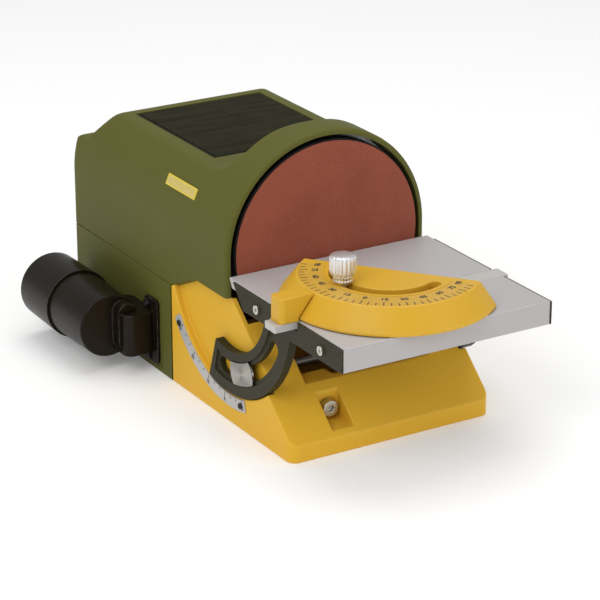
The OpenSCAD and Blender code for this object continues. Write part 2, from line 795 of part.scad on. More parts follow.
module ball_bearing(r, y0, w) difference() {
    rod_y(r, y0, y0 + w, 0, axis_z);
    rod_y(shaft_r + run_gap, y0 - overrun, y0 + w + overrun, 0, axis_z);
}

module front_bearing() color(steel) ball_bearing(bearing_r, can_y - bearing_w, bearing_w);

module rear_bearing() color(steel) ball_bearing(rear_bearing_r, can_end, rear_bearing_w);

module field_magnets() color(dark_grey) for (a = [90, 270])
    along_y(core_y[0], core_y[1]) translate([0, axis_z]) arc_band2d(core_r + magnet_gap,
        can_r - can_wall, a - magnet_half_deg, a + magnet_half_deg);

module brush_holders() color(black) both_sides() difference() {
    intersection() {
        block([commutator_r + body_gap, brush_y[0] - holder_wall, axis_z - brush_w / 2 - holder_wall],
            [can_r, brush_y[1] + holder_wall, axis_z + brush_w / 2 + holder_wall]);
        rod_y(can_r - can_wall - seat_gap, can_y, can_end, 0, axis_z);
    }
    block([commutator_r, brush_y[0] - seat_gap, axis_z - brush_w / 2 - seat_gap],
        [can_r, brush_y[1] + seat_gap, axis_z + brush_w / 2 + seat_gap]);
}

module carbon_brushes() color(dark_grey) both_sides()
    block([commutator_r + body_gap, brush_y[0], axis_z - brush_w / 2],
        [core_r, brush_y[1], axis_z + brush_w / 2]);

module motor_screws() color(steel) motor_screw_places()
    translate([0, bulkhead_y - motor_screw_head_h, 0]) rotate([90, 0, 0])
        cross_screw(motor_screw_head_r, motor_screw_head_h, motor_screw_r, motor_screw_l + bulkhead_t / 2);

module motor_shaft() color(steel) rod_y(shaft_r, shaft_y[0], shaft_y[1], 0, axis_z);

module on_shaft(r, y) difference() {
    rod_y(r, y[0], y[1], 0, axis_z);
    rod_y(shaft_r + seat_gap, y[0] - overrun, y[1] + overrun, 0, axis_z);
}

module rotor_core() color(dark_grey) on_shaft(core_r, core_y);

module commutator() color([0.72, 0.45, 0.2]) on_shaft(commutator_r, commutator_y);

module cooling_fan() color(black) difference() {
    union() {
        rod_y(fan_hub_r, fan_y, fan_y + fan_t, 0, axis_z);
        rod_y(fan_r, fan_y, fan_y + blade_t, 0, axis_z);
        for (i = [0 : fan_blades - 1]) translate([0, 0, axis_z]) rotate([0, i * 360 / fan_blades, 0])
            block([fan_hub_r / 2, fan_y + blade_t / 2, -blade_t / 2],
                [fan_r - blade_t, fan_y + fan_t - blade_t, blade_t / 2]);
    }
    rod_y(shaft_r + seat_gap, fan_y - overrun, fan_y + fan_t + overrun, 0, axis_z);
}

module disc_plate() color(black) difference() {
    union() {
        rod_y(plate_r, grit_t, grit_t + plate_t, 0, axis_z);
        rod_y(hub_d / 2, grit_t, grit_t + plate_t + hub_l, 0, axis_z);
    }
    rod_y(shaft_r + seat_gap, shaft_y[0] - seat_gap, grit_t + plate_t + hub_l + overrun, 0, axis_z);
    rod_z(grub_r + seat_gap, axis_z, axis_z + hub_d, 0, grub_y);
}

module abrasive_disc() color([0.56, 0.30, 0.23]) rod_y(disc_r, 0, grit_t, 0, axis_z);

module hub_grub_screw() color(steel) difference() {
    rod_z(grub_r, axis_z + shaft_r + seat_gap, axis_z + hub_d / 2 - cross_w, 0, grub_y);
    translate([0, grub_y, axis_z + hub_d / 2 - hex_depth]) cylinder(r = grub_r / 2, h = hex_depth, $fn = 6);
}

// Electrics

module circuit_board() color([0.15, 0.35, 0.2])
    block([board_x[0], board_y[0], board_z], [board_x[1], board_y[1], board_z + board_t]);

module capacitor() color(light_grey) rod_z(capacitor_r, board_z + board_t, board_z + board_t + capacitor_h,
    board_x[0] + 2 * capacitor_r, board_y[1] - 2 * capacitor_r);

module speed_pot() color(steel) difference() {
    union() {
        block([half_w - wall_t - pot_depth, dial_y - pot_half, control_z - pot_half],
            [half_w - wall_t, dial_y + pot_half, control_z + pot_half]);
        rod_x(pot_bush_r, half_w - wall_t - pot_depth, half_w, dial_y, control_z);
    }
    rod_x(pot_shaft_r + run_gap, half_w - wall_t - pot_depth + holder_wall, half_w + overrun,
        dial_y, control_z);
}

module pot_shaft() color(steel) rod_x(pot_shaft_r, half_w - wall_t - pot_depth + holder_wall + body_gap,
    half_w + dial_t - holder_wall, dial_y, control_z);

module speed_dial() color(black) difference() {
    rod_x(dial_d / 2, half_w + body_gap, half_w + dial_t, dial_y, control_z);
    rod_x(pot_shaft_r + seat_gap, half_w, half_w + dial_t - holder_wall, dial_y, control_z);
    for (i = [0 : dial_grip_n - 1]) translate([0, dial_y, control_z]) rotate([i * 360 / dial_grip_n, 0, 0])
        rod_x(dial_d * dial_grip_share, half_w + bezel_t, half_w + dial_t + overrun, dial_d / 2, 0);
}

module switch_body() color(black) difference() {
    union() {
        block([half_w - switch_depth, switch_y - switch_fit[0], control_z - switch_fit[1]],
            [half_w, switch_y + switch_fit[0], control_z + switch_fit[1]]);
        block([half_w, switch_y - bezel[0], control_z - bezel[1]],
            [half_w + bezel_t, switch_y + bezel[0], control_z + bezel[1]]);
    }
    block([half_w - rocker_cavity, switch_y - rocker[0] - body_gap, control_z - rocker[1] - rocker_gap],
        [half_w + bezel_t + overrun, switch_y + rocker[0] + body_gap, control_z + rocker[1] + rocker_gap]);
    rod_y(rocker_pin_r + run_gap, switch_y - rocker[0] - rocker_pin_r, switch_y + rocker[0] + rocker_pin_r,
        half_w, control_z);
}

module power_rocker() color([0.55, 0.1, 0.08]) {
    block([half_w - rocker_sunk, switch_y - rocker[0], control_z - rocker[1]],
        [half_w + rocker_proud, switch_y + rocker[0], control_z + rocker[1]]);
    rod_y(rocker_pin_r, switch_y - rocker[0] - rocker_pin_r + run_gap,
        switch_y + rocker[0] + rocker_pin_r - run_gap, half_w, control_z);
}

module cord_gland() color(black) difference() {
    union() {
        rod_y(gland_r, rear_y - wall_t - gland_inner_l, rear_y, gland_x, gland_z);
        rod_y(gland_flange_r, rear_y, rear_y + gland_flange_t, gland_x, gland_z);
    }
    rod_y(gland_bore_r, rear_y - wall_t - gland_inner_l - overrun, rear_y + gland_flange_t + overrun,
        gland_x, gland_z);
}

// Tilting table

module clamp_rod() color(dark_grey) rod_x(rod_r, -clamp_x0, rod_end_x, clamp_y, clamp_z);

// Block with two sides that follow the track, and a tongue that fills the slot
module clamp_block() difference() {
    union() {
        along_x(clamp_x0, clamp_x1) intersection() {
            translate([clamp_y, clamp_z]) circle(clamp_d / 2);
            translate([pivot_y, pivot_z]) ring2d(track_in_r + tongue_gap, track_out_r - tongue_gap);
        }
        rod_x(slot_w / 2 - tongue_gap, sector_x0 + body_gap, clamp_x0, clamp_y, clamp_z);
    }
    rod_x(rod_r + seat_gap, 0, clamp_x0, clamp_y, clamp_z);
}

module clamp_blocks() color(steel) {
    mirror([1, 0, 0]) clamp_block();
    difference() {
        clamp_block();
        rod_x(rod_r + seat_gap, 0, rod_end_x, clamp_y, clamp_z);
    }
}

module tilt_clamp_knob() color(black) difference() {
    rod_x(tilt_knob_d / 2, tilt_knob_x0, tilt_knob_x1, clamp_y, clamp_z);
    rod_x(rod_r + run_gap, tilt_knob_x0 - overrun, rod_end_x + body_gap, clamp_y, clamp_z);
    for (i = [0 : knob_lobes - 1]) translate([0, clamp_y, clamp_z]) rotate([i * 360 / knob_lobes, 0, 0])
        rod_x(tilt_knob_d / 2 * lobe_r_share, tilt_knob_x0 + cheek_t, tilt_knob_x1 + overrun,
            tilt_knob_d / 2 * (1 + lobe_r_share / 2), 0);
}

module table_plate() color(light_grey) difference() {
    union() {
        along_x(-half_w, half_w) polygon([[-table_gap, table_z], [-table_gap - rear_bevel, table_z - top_t],
            [table_front_y, table_z - top_t], [table_front_y, table_z]]);
        block([-half_w, table_front_y, cheek_low_z], [half_w, table_front_y + apron_t, table_z]);
        both_sides() block([half_w - rail_w, table_front_y, table_z - rail_h],
            [half_w, rail_rear_y, table_z - top_t]);
        block([-half_w, -groove_y - groove_rib_w / 2, table_z - groove_d - groove_rib_t],
            [half_w, -groove_y + groove_rib_w / 2, table_z - top_t]);
    }
    block([-half_w - overrun, -groove_y - groove_w / 2, table_z - groove_d],
        [half_w + overrun, -groove_y + groove_w / 2, table_z + overrun]);
    both_sides() for (y = bracket_screw_y)
        rod_x(small_shank_r + seat_gap, half_w - rail_w - overrun, half_w + overrun, y, bracket_screw_z);
}

module cheek2d() difference() {
    polygon([[cheek_top_y, table_z - cheek_drop], [cheek_heel_y, cheek_low_z], [table_front_y, cheek_low_z],
        [table_front_y, table_z - cheek_drop]]);
    translate([-groove_y - groove_w / 2 - notch_gap, table_z - groove_d - notch_gap])
        square([groove_w + 2 * notch_gap, groove_d + overrun]);
}

// Sector's band from its rear end up to a height
module sector2d(top_z) intersection() {
    translate([pivot_y, pivot_z]) union() {
        arc_band2d(sector_in_r, sector_out_r, -180, -90);
        arc_band2d(sector_in_r, sector_out_r, -90, -sector_rear_deg);
    }
    translate([table_front_y, 0]) square([table_d + sector_out_r, top_z]);
}

module bracket() difference() {
    union() {
        along_x(cheek_x0, cheek_x1) cheek2d();
        along_x(cheek_x0, cheek_x1) sector2d(cheek_low_z + cheek_t);
        along_x(sector_x0, sector_x1) sector2d(cheek_low_z);
    }
    along_x(sector_x1 - track_d, sector_x1 + overrun) translate([pivot_y, pivot_z])
        arc_band2d(track_in_r, track_out_r, -track_front_deg, -track_rear_deg);
    along_x(sector_x0 - overrun, sector_x1) translate([pivot_y, pivot_z])
        arc_slot2d(track_r, slot_w, -slot_front_deg, -slot_rear_deg);
    for (y = bracket_screw_y)
        rod_x(small_shank_r + seat_gap, cheek_x0 - overrun, cheek_x1 + overrun, y, bracket_screw_z);
}

module left_bracket() color(dark_grey) mirror([1, 0, 0]) bracket();

module right_bracket() color(dark_grey) bracket();

module bracket_screws() color(steel) both_sides() for (y = bracket_screw_y)
    translate([cheek_x1 + small_head_h, y, bracket_screw_z]) rotate([0, 90, 0])
        cross_screw(small_head_r, small_head_h, small_shank_r, rail_w - body_gap);

// Mitre gauge

module guide_bar() color(light_grey) difference() {
    block([gauge_x - bar_left_l, -groove_y - bar_w / 2, bar_z0],
        [gauge_x + bar_right_l, -groove_y + bar_w / 2, bar_z1]);
    for (p = [[gauge_x, pin_r], [stud_x, stud_r]])
        rod_z(p[1] + seat_gap, table_z - groove_d, table_z + overrun, p[0], -groove_y);
}

module gauge_pivot_pin() color(steel) rod_z(pin_r, bar_z0, gauge_z1 - pin_cover - body_gap,
    gauge_x, -groove_y);

module gauge_stud() color(steel) rod_z(stud_r, bar_z0, stud_top_z, stud_x, -groove_y);

// Half section of the protractor's round body, grown by a gap for its neighbours
module gauge_section2d(gap) polygon([[0, 0], [gauge_foot_r + gap, 0],
    [gauge_foot_r + gap, gauge_edge_h + gap / 2], [gauge_top_r + gap, gauge_h + gap / 2],
    [0, gauge_h + gap / 2]]);

module pointer_block() color(yellow) difference() {
    union() {
        along_z(gauge_z0, gauge_z1) round_rect2d([gauge_x - pointer_end_l, -groove_y - pointer_w / 2],
            [gauge_x - pointer_end_l + pointer_l, -groove_y + pointer_w / 2], pointer_corner_r);
        block([gauge_x - pointer_end_l, -groove_y - bar_w / 2 + bar_side_gap, bar_z1],
            [gauge_x, -groove_y + bar_w / 2 - bar_side_gap, gauge_z0 + gauge_lift]);
    }
    translate([gauge_x, -groove_y, gauge_z0]) rotate_extrude() gauge_section2d(pointer_gap);
    rod_z(gauge_foot_r + pointer_gap, table_z - overrun, gauge_z0 + gauge_lift, gauge_x, -groove_y);
}

module protractor() color(yellow) translate([gauge_x, -groove_y, gauge_z0])
    rotate([0, 0, -gauge_set_deg]) difference() {
    union() {
        rotate([0, 0, 180]) rotate_extrude(angle = 180) gauge_section2d(0);
        along_y(0, fence_t) union() {
            gauge_section2d(0);
            mirror([1, 0]) gauge_section2d(0);
        }
    }
    along_z(-overrun, gauge_h + overrun)
        arc_slot2d(gauge_slot_r, gauge_slot_w, -90 - slot_half_deg, -90 + slot_half_deg);
    translate([0, 0, -overrun]) cylinder(r = pin_r + run_gap, h = gauge_h - pin_cover + overrun);
}

module gauge_knob() color(steel) difference() {
    union() {
        rod_z(collar_r, knob_z0, knob_z0 + collar_h, stud_x, -groove_y);
        rod_z(gauge_knob_d / 2, knob_z0 + collar_h, knob_z1, stud_x, -groove_y);
    }
    rod_z(stud_r + run_gap, knob_z0 - overrun, stud_top_z + body_gap, stud_x, -groove_y);
    for (i = [0 : flute_n - 1]) translate([stud_x, -groove_y, 0]) rotate([0, 0, i * 360 / flute_n])
        rod_z(gauge_knob_d * flute_r_share, knob_z0 + collar_h / 2, knob_z1 + overrun, gauge_knob_d / 2, 0);
}

base_frame();
lower_housing();
upper_housing();
top_mat();
label_plate();
scale_strip();
scale_screws();
base_bolt();
case_screws();
base_screws();
bulkhead();
dust_deck();
dust_elbow();
dust_sleeve();
dust_port_screws();
motor_can();
front_shield();
rear_shield();
front_bearing();
rear_bearing();
field_magnets();
brush_holders();
carbon_brushes();
motor_screws();
motor_shaft();
rotor_core();
commutator();
cooling_fan();
disc_plate();
abrasive_disc();
hub_grub_screw();
circuit_board();
capacitor();
speed_pot();
pot_shaft();
speed_dial();
switch_body();
power_rocker();
cord_gland();
clamp_rod();
clamp_blocks();
tilt_clamp_knob();
table_plate();
left_bracket();
right_bracket();
bracket_screws();
guide_bar();
pointer_block();
gauge_pivot_pin();
gauge_stud();
protractor();
gauge_knob();
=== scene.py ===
"""Benchtop disc sander: finishes, rounded skins, printed scales, studio light and camera."""
import json
import math

import bmesh
import bpy
from mathutils import Matrix, Vector


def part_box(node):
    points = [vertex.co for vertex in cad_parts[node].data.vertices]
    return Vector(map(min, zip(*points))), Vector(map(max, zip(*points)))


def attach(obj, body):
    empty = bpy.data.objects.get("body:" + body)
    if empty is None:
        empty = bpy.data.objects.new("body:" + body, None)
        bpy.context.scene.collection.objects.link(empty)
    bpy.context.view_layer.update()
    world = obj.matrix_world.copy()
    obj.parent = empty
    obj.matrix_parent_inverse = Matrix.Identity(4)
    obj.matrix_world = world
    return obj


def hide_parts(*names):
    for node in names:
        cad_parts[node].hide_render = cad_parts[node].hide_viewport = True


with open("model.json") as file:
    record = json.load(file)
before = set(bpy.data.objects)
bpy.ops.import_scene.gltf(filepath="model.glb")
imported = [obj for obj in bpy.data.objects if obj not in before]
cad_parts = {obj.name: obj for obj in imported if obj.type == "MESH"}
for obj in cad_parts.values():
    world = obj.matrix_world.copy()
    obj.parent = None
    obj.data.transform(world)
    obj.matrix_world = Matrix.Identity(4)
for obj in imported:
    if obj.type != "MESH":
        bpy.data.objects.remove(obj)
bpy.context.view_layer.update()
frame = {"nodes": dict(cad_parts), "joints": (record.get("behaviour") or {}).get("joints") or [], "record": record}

MM = 0.001
joint_at = {j["name"]: Vector(j["pos_m"]) for j in frame["joints"] if "pos_m" in j}
slot_of = {s["node"]: s["material_slot"] for s in frame["record"]["subparts"]}
body_of = {n: b for b, members in frame["record"]["behaviour"]["bodies"].items() for n in members}

# Places taken from the frame, in metres
HOOD_LOW, HOOD_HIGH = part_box("upper_housing")
HALF_W = HOOD_HIGH.x
AXIS_Z = joint_at["disc_spin"].z
TILT_AXIS = joint_at["table_tilt"]
GAUGE_PIVOT = joint_at["mitre_swing"]
GAUGE_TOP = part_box("protractor")[1].z

# Camera, as fitted to the edges in the photograph
VIEW_AZIMUTH = -31.0
VIEW_ELEVATION = 21.7
VIEW_DISTANCE = 1.533
VIEW_TARGET = Vector((-19.5, 0.0, 67.4)) * MM
LENS = 153.7
SENSOR = 36.0
CLIP_END = 20.0

# Studio: name, place in metres, size and power of each light, then the surroundings and the floor
LIGHTS = [("key_left", (-1.1, -0.55, 1.15), 0.9, 9.0),
          ("top_fill", (0.1, 0.3, 1.7), 1.4, 12.0),
          ("front_fill", (0.9, -1.5, 0.9), 1.0, 6.5)]
WORLD_STRENGTH = 0.50
FLOOR_REACH = 4.0
FLOOR_GLOW = 0.15

# Colours, linear
OLIVE = (0.106, 0.106, 0.023)
YELLOW = (0.75, 0.43, 0.030)
BLACK = (0.0099, 0.0064, 0.0032)
DARK_GREY = (0.0315, 0.0278, 0.0130)
LIGHT_GREY = (0.46, 0.44, 0.44)
BRICK = (0.31, 0.079, 0.044)
# painted glint of the abrasive's grit
PAINTED_GLINT = (0.52, 0.27, 0.20)
INK = (0.035, 0.030, 0.020)
ZINC = (0.56, 0.55, 0.48)
CLAMP_STEEL = (0.26, 0.25, 0.235)
PAPER = (0.89, 0.89, 0.885)
WHITE = (1.0, 1.0, 1.0)


# Studio


def make_camera():
    """Camera of the photograph"""
    a, e = math.radians(VIEW_AZIMUTH), math.radians(VIEW_ELEVATION)
    back = Vector((math.sin(a) * math.cos(e), -math.cos(a) * math.cos(e), math.sin(e)))
    data = bpy.data.cameras.new("camera")
    data.lens = LENS
    data.sensor_width = SENSOR
    data.clip_end = CLIP_END
    camera = bpy.data.objects.new("camera", data)
    camera.location = VIEW_TARGET + back * VIEW_DISTANCE
    camera.rotation_mode = "QUATERNION"
    camera.rotation_quaternion = (-back).to_track_quat("-Z", "Y")
    bpy.context.scene.collection.objects.link(camera)
    bpy.context.scene.camera = camera


def soft_box(name, place, size, power):
    """Square area light that faces the machine"""
    data = bpy.data.lights.new(name, "AREA")
    data.energy = power
    data.size = size
    light = bpy.data.objects.new(name, data)
    light.location = place
    light.rotation_mode = "QUATERNION"
    light.rotation_quaternion = (VIEW_TARGET - Vector(place)).to_track_quat("-Z", "Y")
    bpy.context.scene.collection.objects.link(light)


def make_studio():
    """White surroundings, soft lights and a floor of pale paper that glows a little"""
    world = bpy.data.worlds.new("studio")
    world.use_nodes = True
    surroundings = world.node_tree.nodes["Background"]
    surroundings.inputs["Color"].default_value = (*WHITE, 1.0)
    surroundings.inputs["Strength"].default_value = WORLD_STRENGTH
    bpy.context.scene.world = world
    bpy.context.scene.view_settings.view_transform = "Standard"
    for light in LIGHTS:
        soft_box(*light)
    mesh = bpy.data.meshes.new("floor")
    corners = [(x, y, 0) for x, y in rectangle(-FLOOR_REACH, -FLOOR_REACH, FLOOR_REACH, FLOOR_REACH)]
    mesh.from_pydata(corners, [], [(0, 1, 2, 3)])
    floor = bpy.data.objects.new("floor", mesh)
    bpy.context.scene.collection.objects.link(floor)
    paper = finish("floor_paper", PAPER, rough=0.9, tint=0.005, patch=400, depth=0.0, specular=0.1)
    glow = paper.node_tree.nodes["Principled BSDF"]
    glow.inputs["Emission Color"].default_value = (*WHITE, 1.0)
    glow.inputs["Emission Strength"].default_value = FLOOR_GLOW
    floor.data.materials.append(paper)


# Materials

SCUFF_MM = 2.2
SCUFF_CONTRAST = (0.42, 0.62)
WORN_SHADE = 1.35
# colour factor of the painted shade that darkens the joints between parts nearly to black
JOINT_SHADE_FACTOR = 0.06
LEAST_ROUGH = 0.04
GRIT_MM = 0.42
# angle of the painted highlight's two lobes on the clamp's face
PAINTED_SHEEN_DEG = 158.0
WAVE_LENGTH = 0.314  # of one band of the wave texture at scale 1


class Surface:
    """Node material under construction, with textures in the object's own coordinates"""

    def __init__(self, name, rough, metallic=0.0, specular=0.5):
        self.mat = bpy.data.materials.new(name)
        self.mat.use_nodes = True
        self.tree = self.mat.node_tree
        self.bsdf = self.tree.nodes["Principled BSDF"]
        self.bsdf.inputs["Roughness"].default_value = rough
        self.bsdf.inputs["Metallic"].default_value = metallic
        self.bsdf.inputs["Specular IOR Level"].default_value = specular
        self.coords = self.node("ShaderNodeTexCoord").outputs["Object"]

    def node(self, kind, **values):
        """New node with some of its settings"""
        made = self.tree.nodes.new(kind)
        for key, value in values.items():
            setattr(made, key, value)
        return made

    def link(self, source, target):
        self.tree.links.new(source, target)

    def moved(self, centre=(0, 0, 0), scale=(1, 1, 1), turn=(0, 0, 0)):
        """Object coordinates shifted to a centre, turned and stretched"""
        shift = self.node("ShaderNodeMapping")
        shift.inputs["Location"].default_value = [-c for c in centre]
        spin = self.node("ShaderNodeMapping")
        spin.inputs["Rotation"].default_value = [math.radians(t) for t in turn]
        spin.inputs["Scale"].default_value = scale
        self.link(self.coords, shift.inputs["Vector"])
        self.link(shift.outputs["Vector"], spin.inputs["Vector"])
        return spin.outputs["Vector"]

    def noise(self, size_mm, detail=4.0, coords=None, contrast=(0.3, 0.7)):
        """Cloudy value from 0 to 1, with clouds of a size"""
        tex = self.node("ShaderNodeTexNoise")
        tex.inputs["Scale"].default_value = 1.0 / (size_mm * MM)
        tex.inputs["Detail"].default_value = detail
        self.link(coords or self.coords, tex.inputs["Vector"])
        return self.spread(tex.outputs["Fac"], *contrast, 0.0, 1.0)

    def spread(self, value, from_low, from_high, to_low, to_high):
        """Value moved from one range to another"""
        part = self.node("ShaderNodeMapRange")
        for key, number in zip(("From Min", "From Max", "To Min", "To Max"), (from_low, from_high, to_low, to_high)):
            part.inputs[key].default_value = number
        self.link(value, part.inputs["Value"])
        return part.outputs["Result"]

    def math(self, kind, a, b=None):
        """Sum on one or two values, each a socket or a number"""
        part = self.node("ShaderNodeMath", operation=kind)
        for socket, value in zip(part.inputs, (a, b)):
            if value is None:
                continue
            if isinstance(value, (int, float)):
                socket.default_value = value
            else:
                self.link(value, socket)
        return part.outputs["Value"]

    def mix(self, factor, low, high):
        """Colour between two colours, each a socket or a constant"""
        part = self.node("ShaderNodeMix", data_type="RGBA")
        self.link(factor, part.inputs["Factor"])
        for socket, value in ((part.inputs[6], low), (part.inputs[7], high)):
            if isinstance(value, (tuple, list)):
                socket.default_value = (*value, 1.0)
            else:
                self.link(value, socket)
        return part.outputs[2]

    def bump(self, height, depth_mm):
        part = self.node("ShaderNodeBump")
        part.inputs["Distance"].default_value = depth_mm * MM
        self.link(height, part.inputs["Height"])
        return part.outputs["Normal"]

    def attribute(self, name):
        """Value that the mesh carries"""
        return self.node("ShaderNodeAttribute", attribute_name=name).outputs["Fac"]

    def set(self, socket, value):
        self.link(value, self.bsdf.inputs[socket])


def shade(colour, factor):
    """Colour made darker or lighter"""
    return tuple(min(1.0, c * factor) for c in colour)


def finish(name, colour, rough, metallic=0.0, tint=0.03, patch=60.0, grain=0.25, grain_share=0.12, grain_shade=0.8,
           depth=0.02, gloss=0.03, edge_tone=None, rubbing=0.35, stretch=(1, 1, 1), specular=0.5):
    """Moulded, painted or machined surface: cloudy tint, fine grain, uneven gloss, paler rubbed edges, painted shade in
    joints.
    On the black moulding the paler edges are a painted highlight as well as wear.
    patch and grain are the sizes of clouds and grain, and depth the grain's height, all in millimetres"""
    s = Surface(name, rough, metallic, specular)
    colours = s.mix(s.noise(patch), shade(colour, 1 - tint), shade(colour, 1 + tint))
    fine = s.noise(grain, detail=2.0, coords=s.moved(scale=stretch))
    colours = s.mix(s.spread(fine, 0, 1, 0.0, grain_share), colours, shade(colour, grain_shade))
    scuff = s.math("MULTIPLY", s.attribute("rubbed"), s.noise(SCUFF_MM, contrast=SCUFF_CONTRAST))
    colours = s.mix(s.math("MULTIPLY", scuff, rubbing), colours, edge_tone or shade(colour, WORN_SHADE))
    # painted shade: faces in the joints between parts go nearly black, in place of the shadow in the gaps
    colours = s.mix(s.attribute("joint_shade"), colours, shade(colour, JOINT_SHADE_FACTOR))
    s.set("Base Color", colours)
    glossy, dull = max(rough - gloss, LEAST_ROUGH), min(rough + gloss, 1.0)
    s.set("Roughness", s.spread(s.noise(patch / 3), 0, 1, glossy, dull))
    if depth:
        s.set("Normal", s.bump(fine, depth))
    return s.mat


def abrasive_paper():
    """Resin-bonded grit on paper: dark grains and painted pale glints over a cloudy brick red"""
    s = Surface("abrasive_grit", 0.86, specular=0.3)
    grain = s.node("ShaderNodeTexVoronoi", feature="F1")
    grain.inputs["Scale"].default_value = 1.0 / (GRIT_MM * MM)
    s.link(s.coords, grain.inputs["Vector"])
    grit = s.spread(grain.outputs["Distance"], 0.05, 0.75, 1.0, 0.0)
    cloud = s.noise(30.0, contrast=(0.25, 0.75))
    base = s.mix(cloud, shade(BRICK, 0.86), shade(BRICK, 1.12))
    speck = s.noise(0.55, detail=1.0, contrast=(0.52, 0.66))
    base = s.mix(s.math("MULTIPLY", speck, 0.35), base, shade(BRICK, 0.45))
    # painted highlight: pale specks fixed in place, in place of grit catching the light
    glint = s.noise(0.7, detail=1.0, contrast=(0.60, 0.70))
    base = s.mix(s.math("MULTIPLY", glint, 0.30), base, PAINTED_GLINT)
    s.set("Base Color", base)
    s.set("Roughness", s.spread(speck, 0, 1, 0.92, 0.7))
    s.set("Normal", s.bump(grit, 0.12))
    return s.mat


def spun_steel(name, centre, turn, colour):
    """Turned metal: fine rings about an axis through the centre, with a painted fan-shaped highlight across the faced
    end
    """
    s = Surface(name, 0.28, metallic=1.0)
    rings = s.node("ShaderNodeTexWave", wave_type="RINGS", rings_direction="Z", wave_profile="SAW")
    rings.inputs["Scale"].default_value = 420.0
    rings.inputs["Distortion"].default_value = 1.5
    rings.inputs["Detail"].default_value = 3.0
    s.link(s.moved(centre, turn=turn), rings.inputs["Vector"])
    tone = s.mix(s.noise(6.0), shade(colour, 0.88), shade(colour, 1.12))
    parts = s.node("ShaderNodeSeparateXYZ")
    s.link(s.moved(centre), parts.inputs["Vector"])
    angle = s.math("ARCTAN2", parts.outputs["Z"], parts.outputs["Y"])
    painted_sheen = s.math("ABSOLUTE", s.math("COSINE", s.math("SUBTRACT", angle, math.radians(PAINTED_SHEEN_DEG))))
    # painted highlight: two bright lobes fixed on the face, in place of the fan-shaped sheen of spun metal
    tone = s.mix(s.math("POWER", painted_sheen, 5.0), tone, shade(colour, 1.7))
    s.set("Base Color", s.mix(s.math("MULTIPLY", rings.outputs["Fac"], 0.18), tone, shade(colour, 0.55)))
    s.set("Roughness", s.spread(rings.outputs["Fac"], 0, 1, 0.20, 0.40))
    s.set("Normal", s.bump(rings.outputs["Fac"], 0.03))
    return s.mat


def banded(name, colour, gap_colour, pitch_mm, turn, rough, metallic):
    """Stack of thin plates, seen as fine lines across one axis"""
    s = Surface(name, rough, metallic)
    bands = s.node("ShaderNodeTexWave", wave_type="BANDS", bands_direction="X", wave_profile="SIN")
    bands.inputs["Scale"].default_value = WAVE_LENGTH / (pitch_mm * MM)
    s.link(s.moved(turn=turn), bands.inputs["Vector"])
    lines = s.spread(bands.outputs["Fac"], 0.15, 0.4, 1.0, 0.0)
    tone = s.mix(s.noise(8.0), shade(colour, 0.85), shade(colour, 1.15))
    s.set("Base Color", s.mix(lines, tone, gap_colour))
    s.set("Roughness", s.spread(s.noise(3.0), 0, 1, rough - 0.08, rough + 0.08))
    s.set("Normal", s.bump(bands.outputs["Fac"], 0.05))
    return s.mat


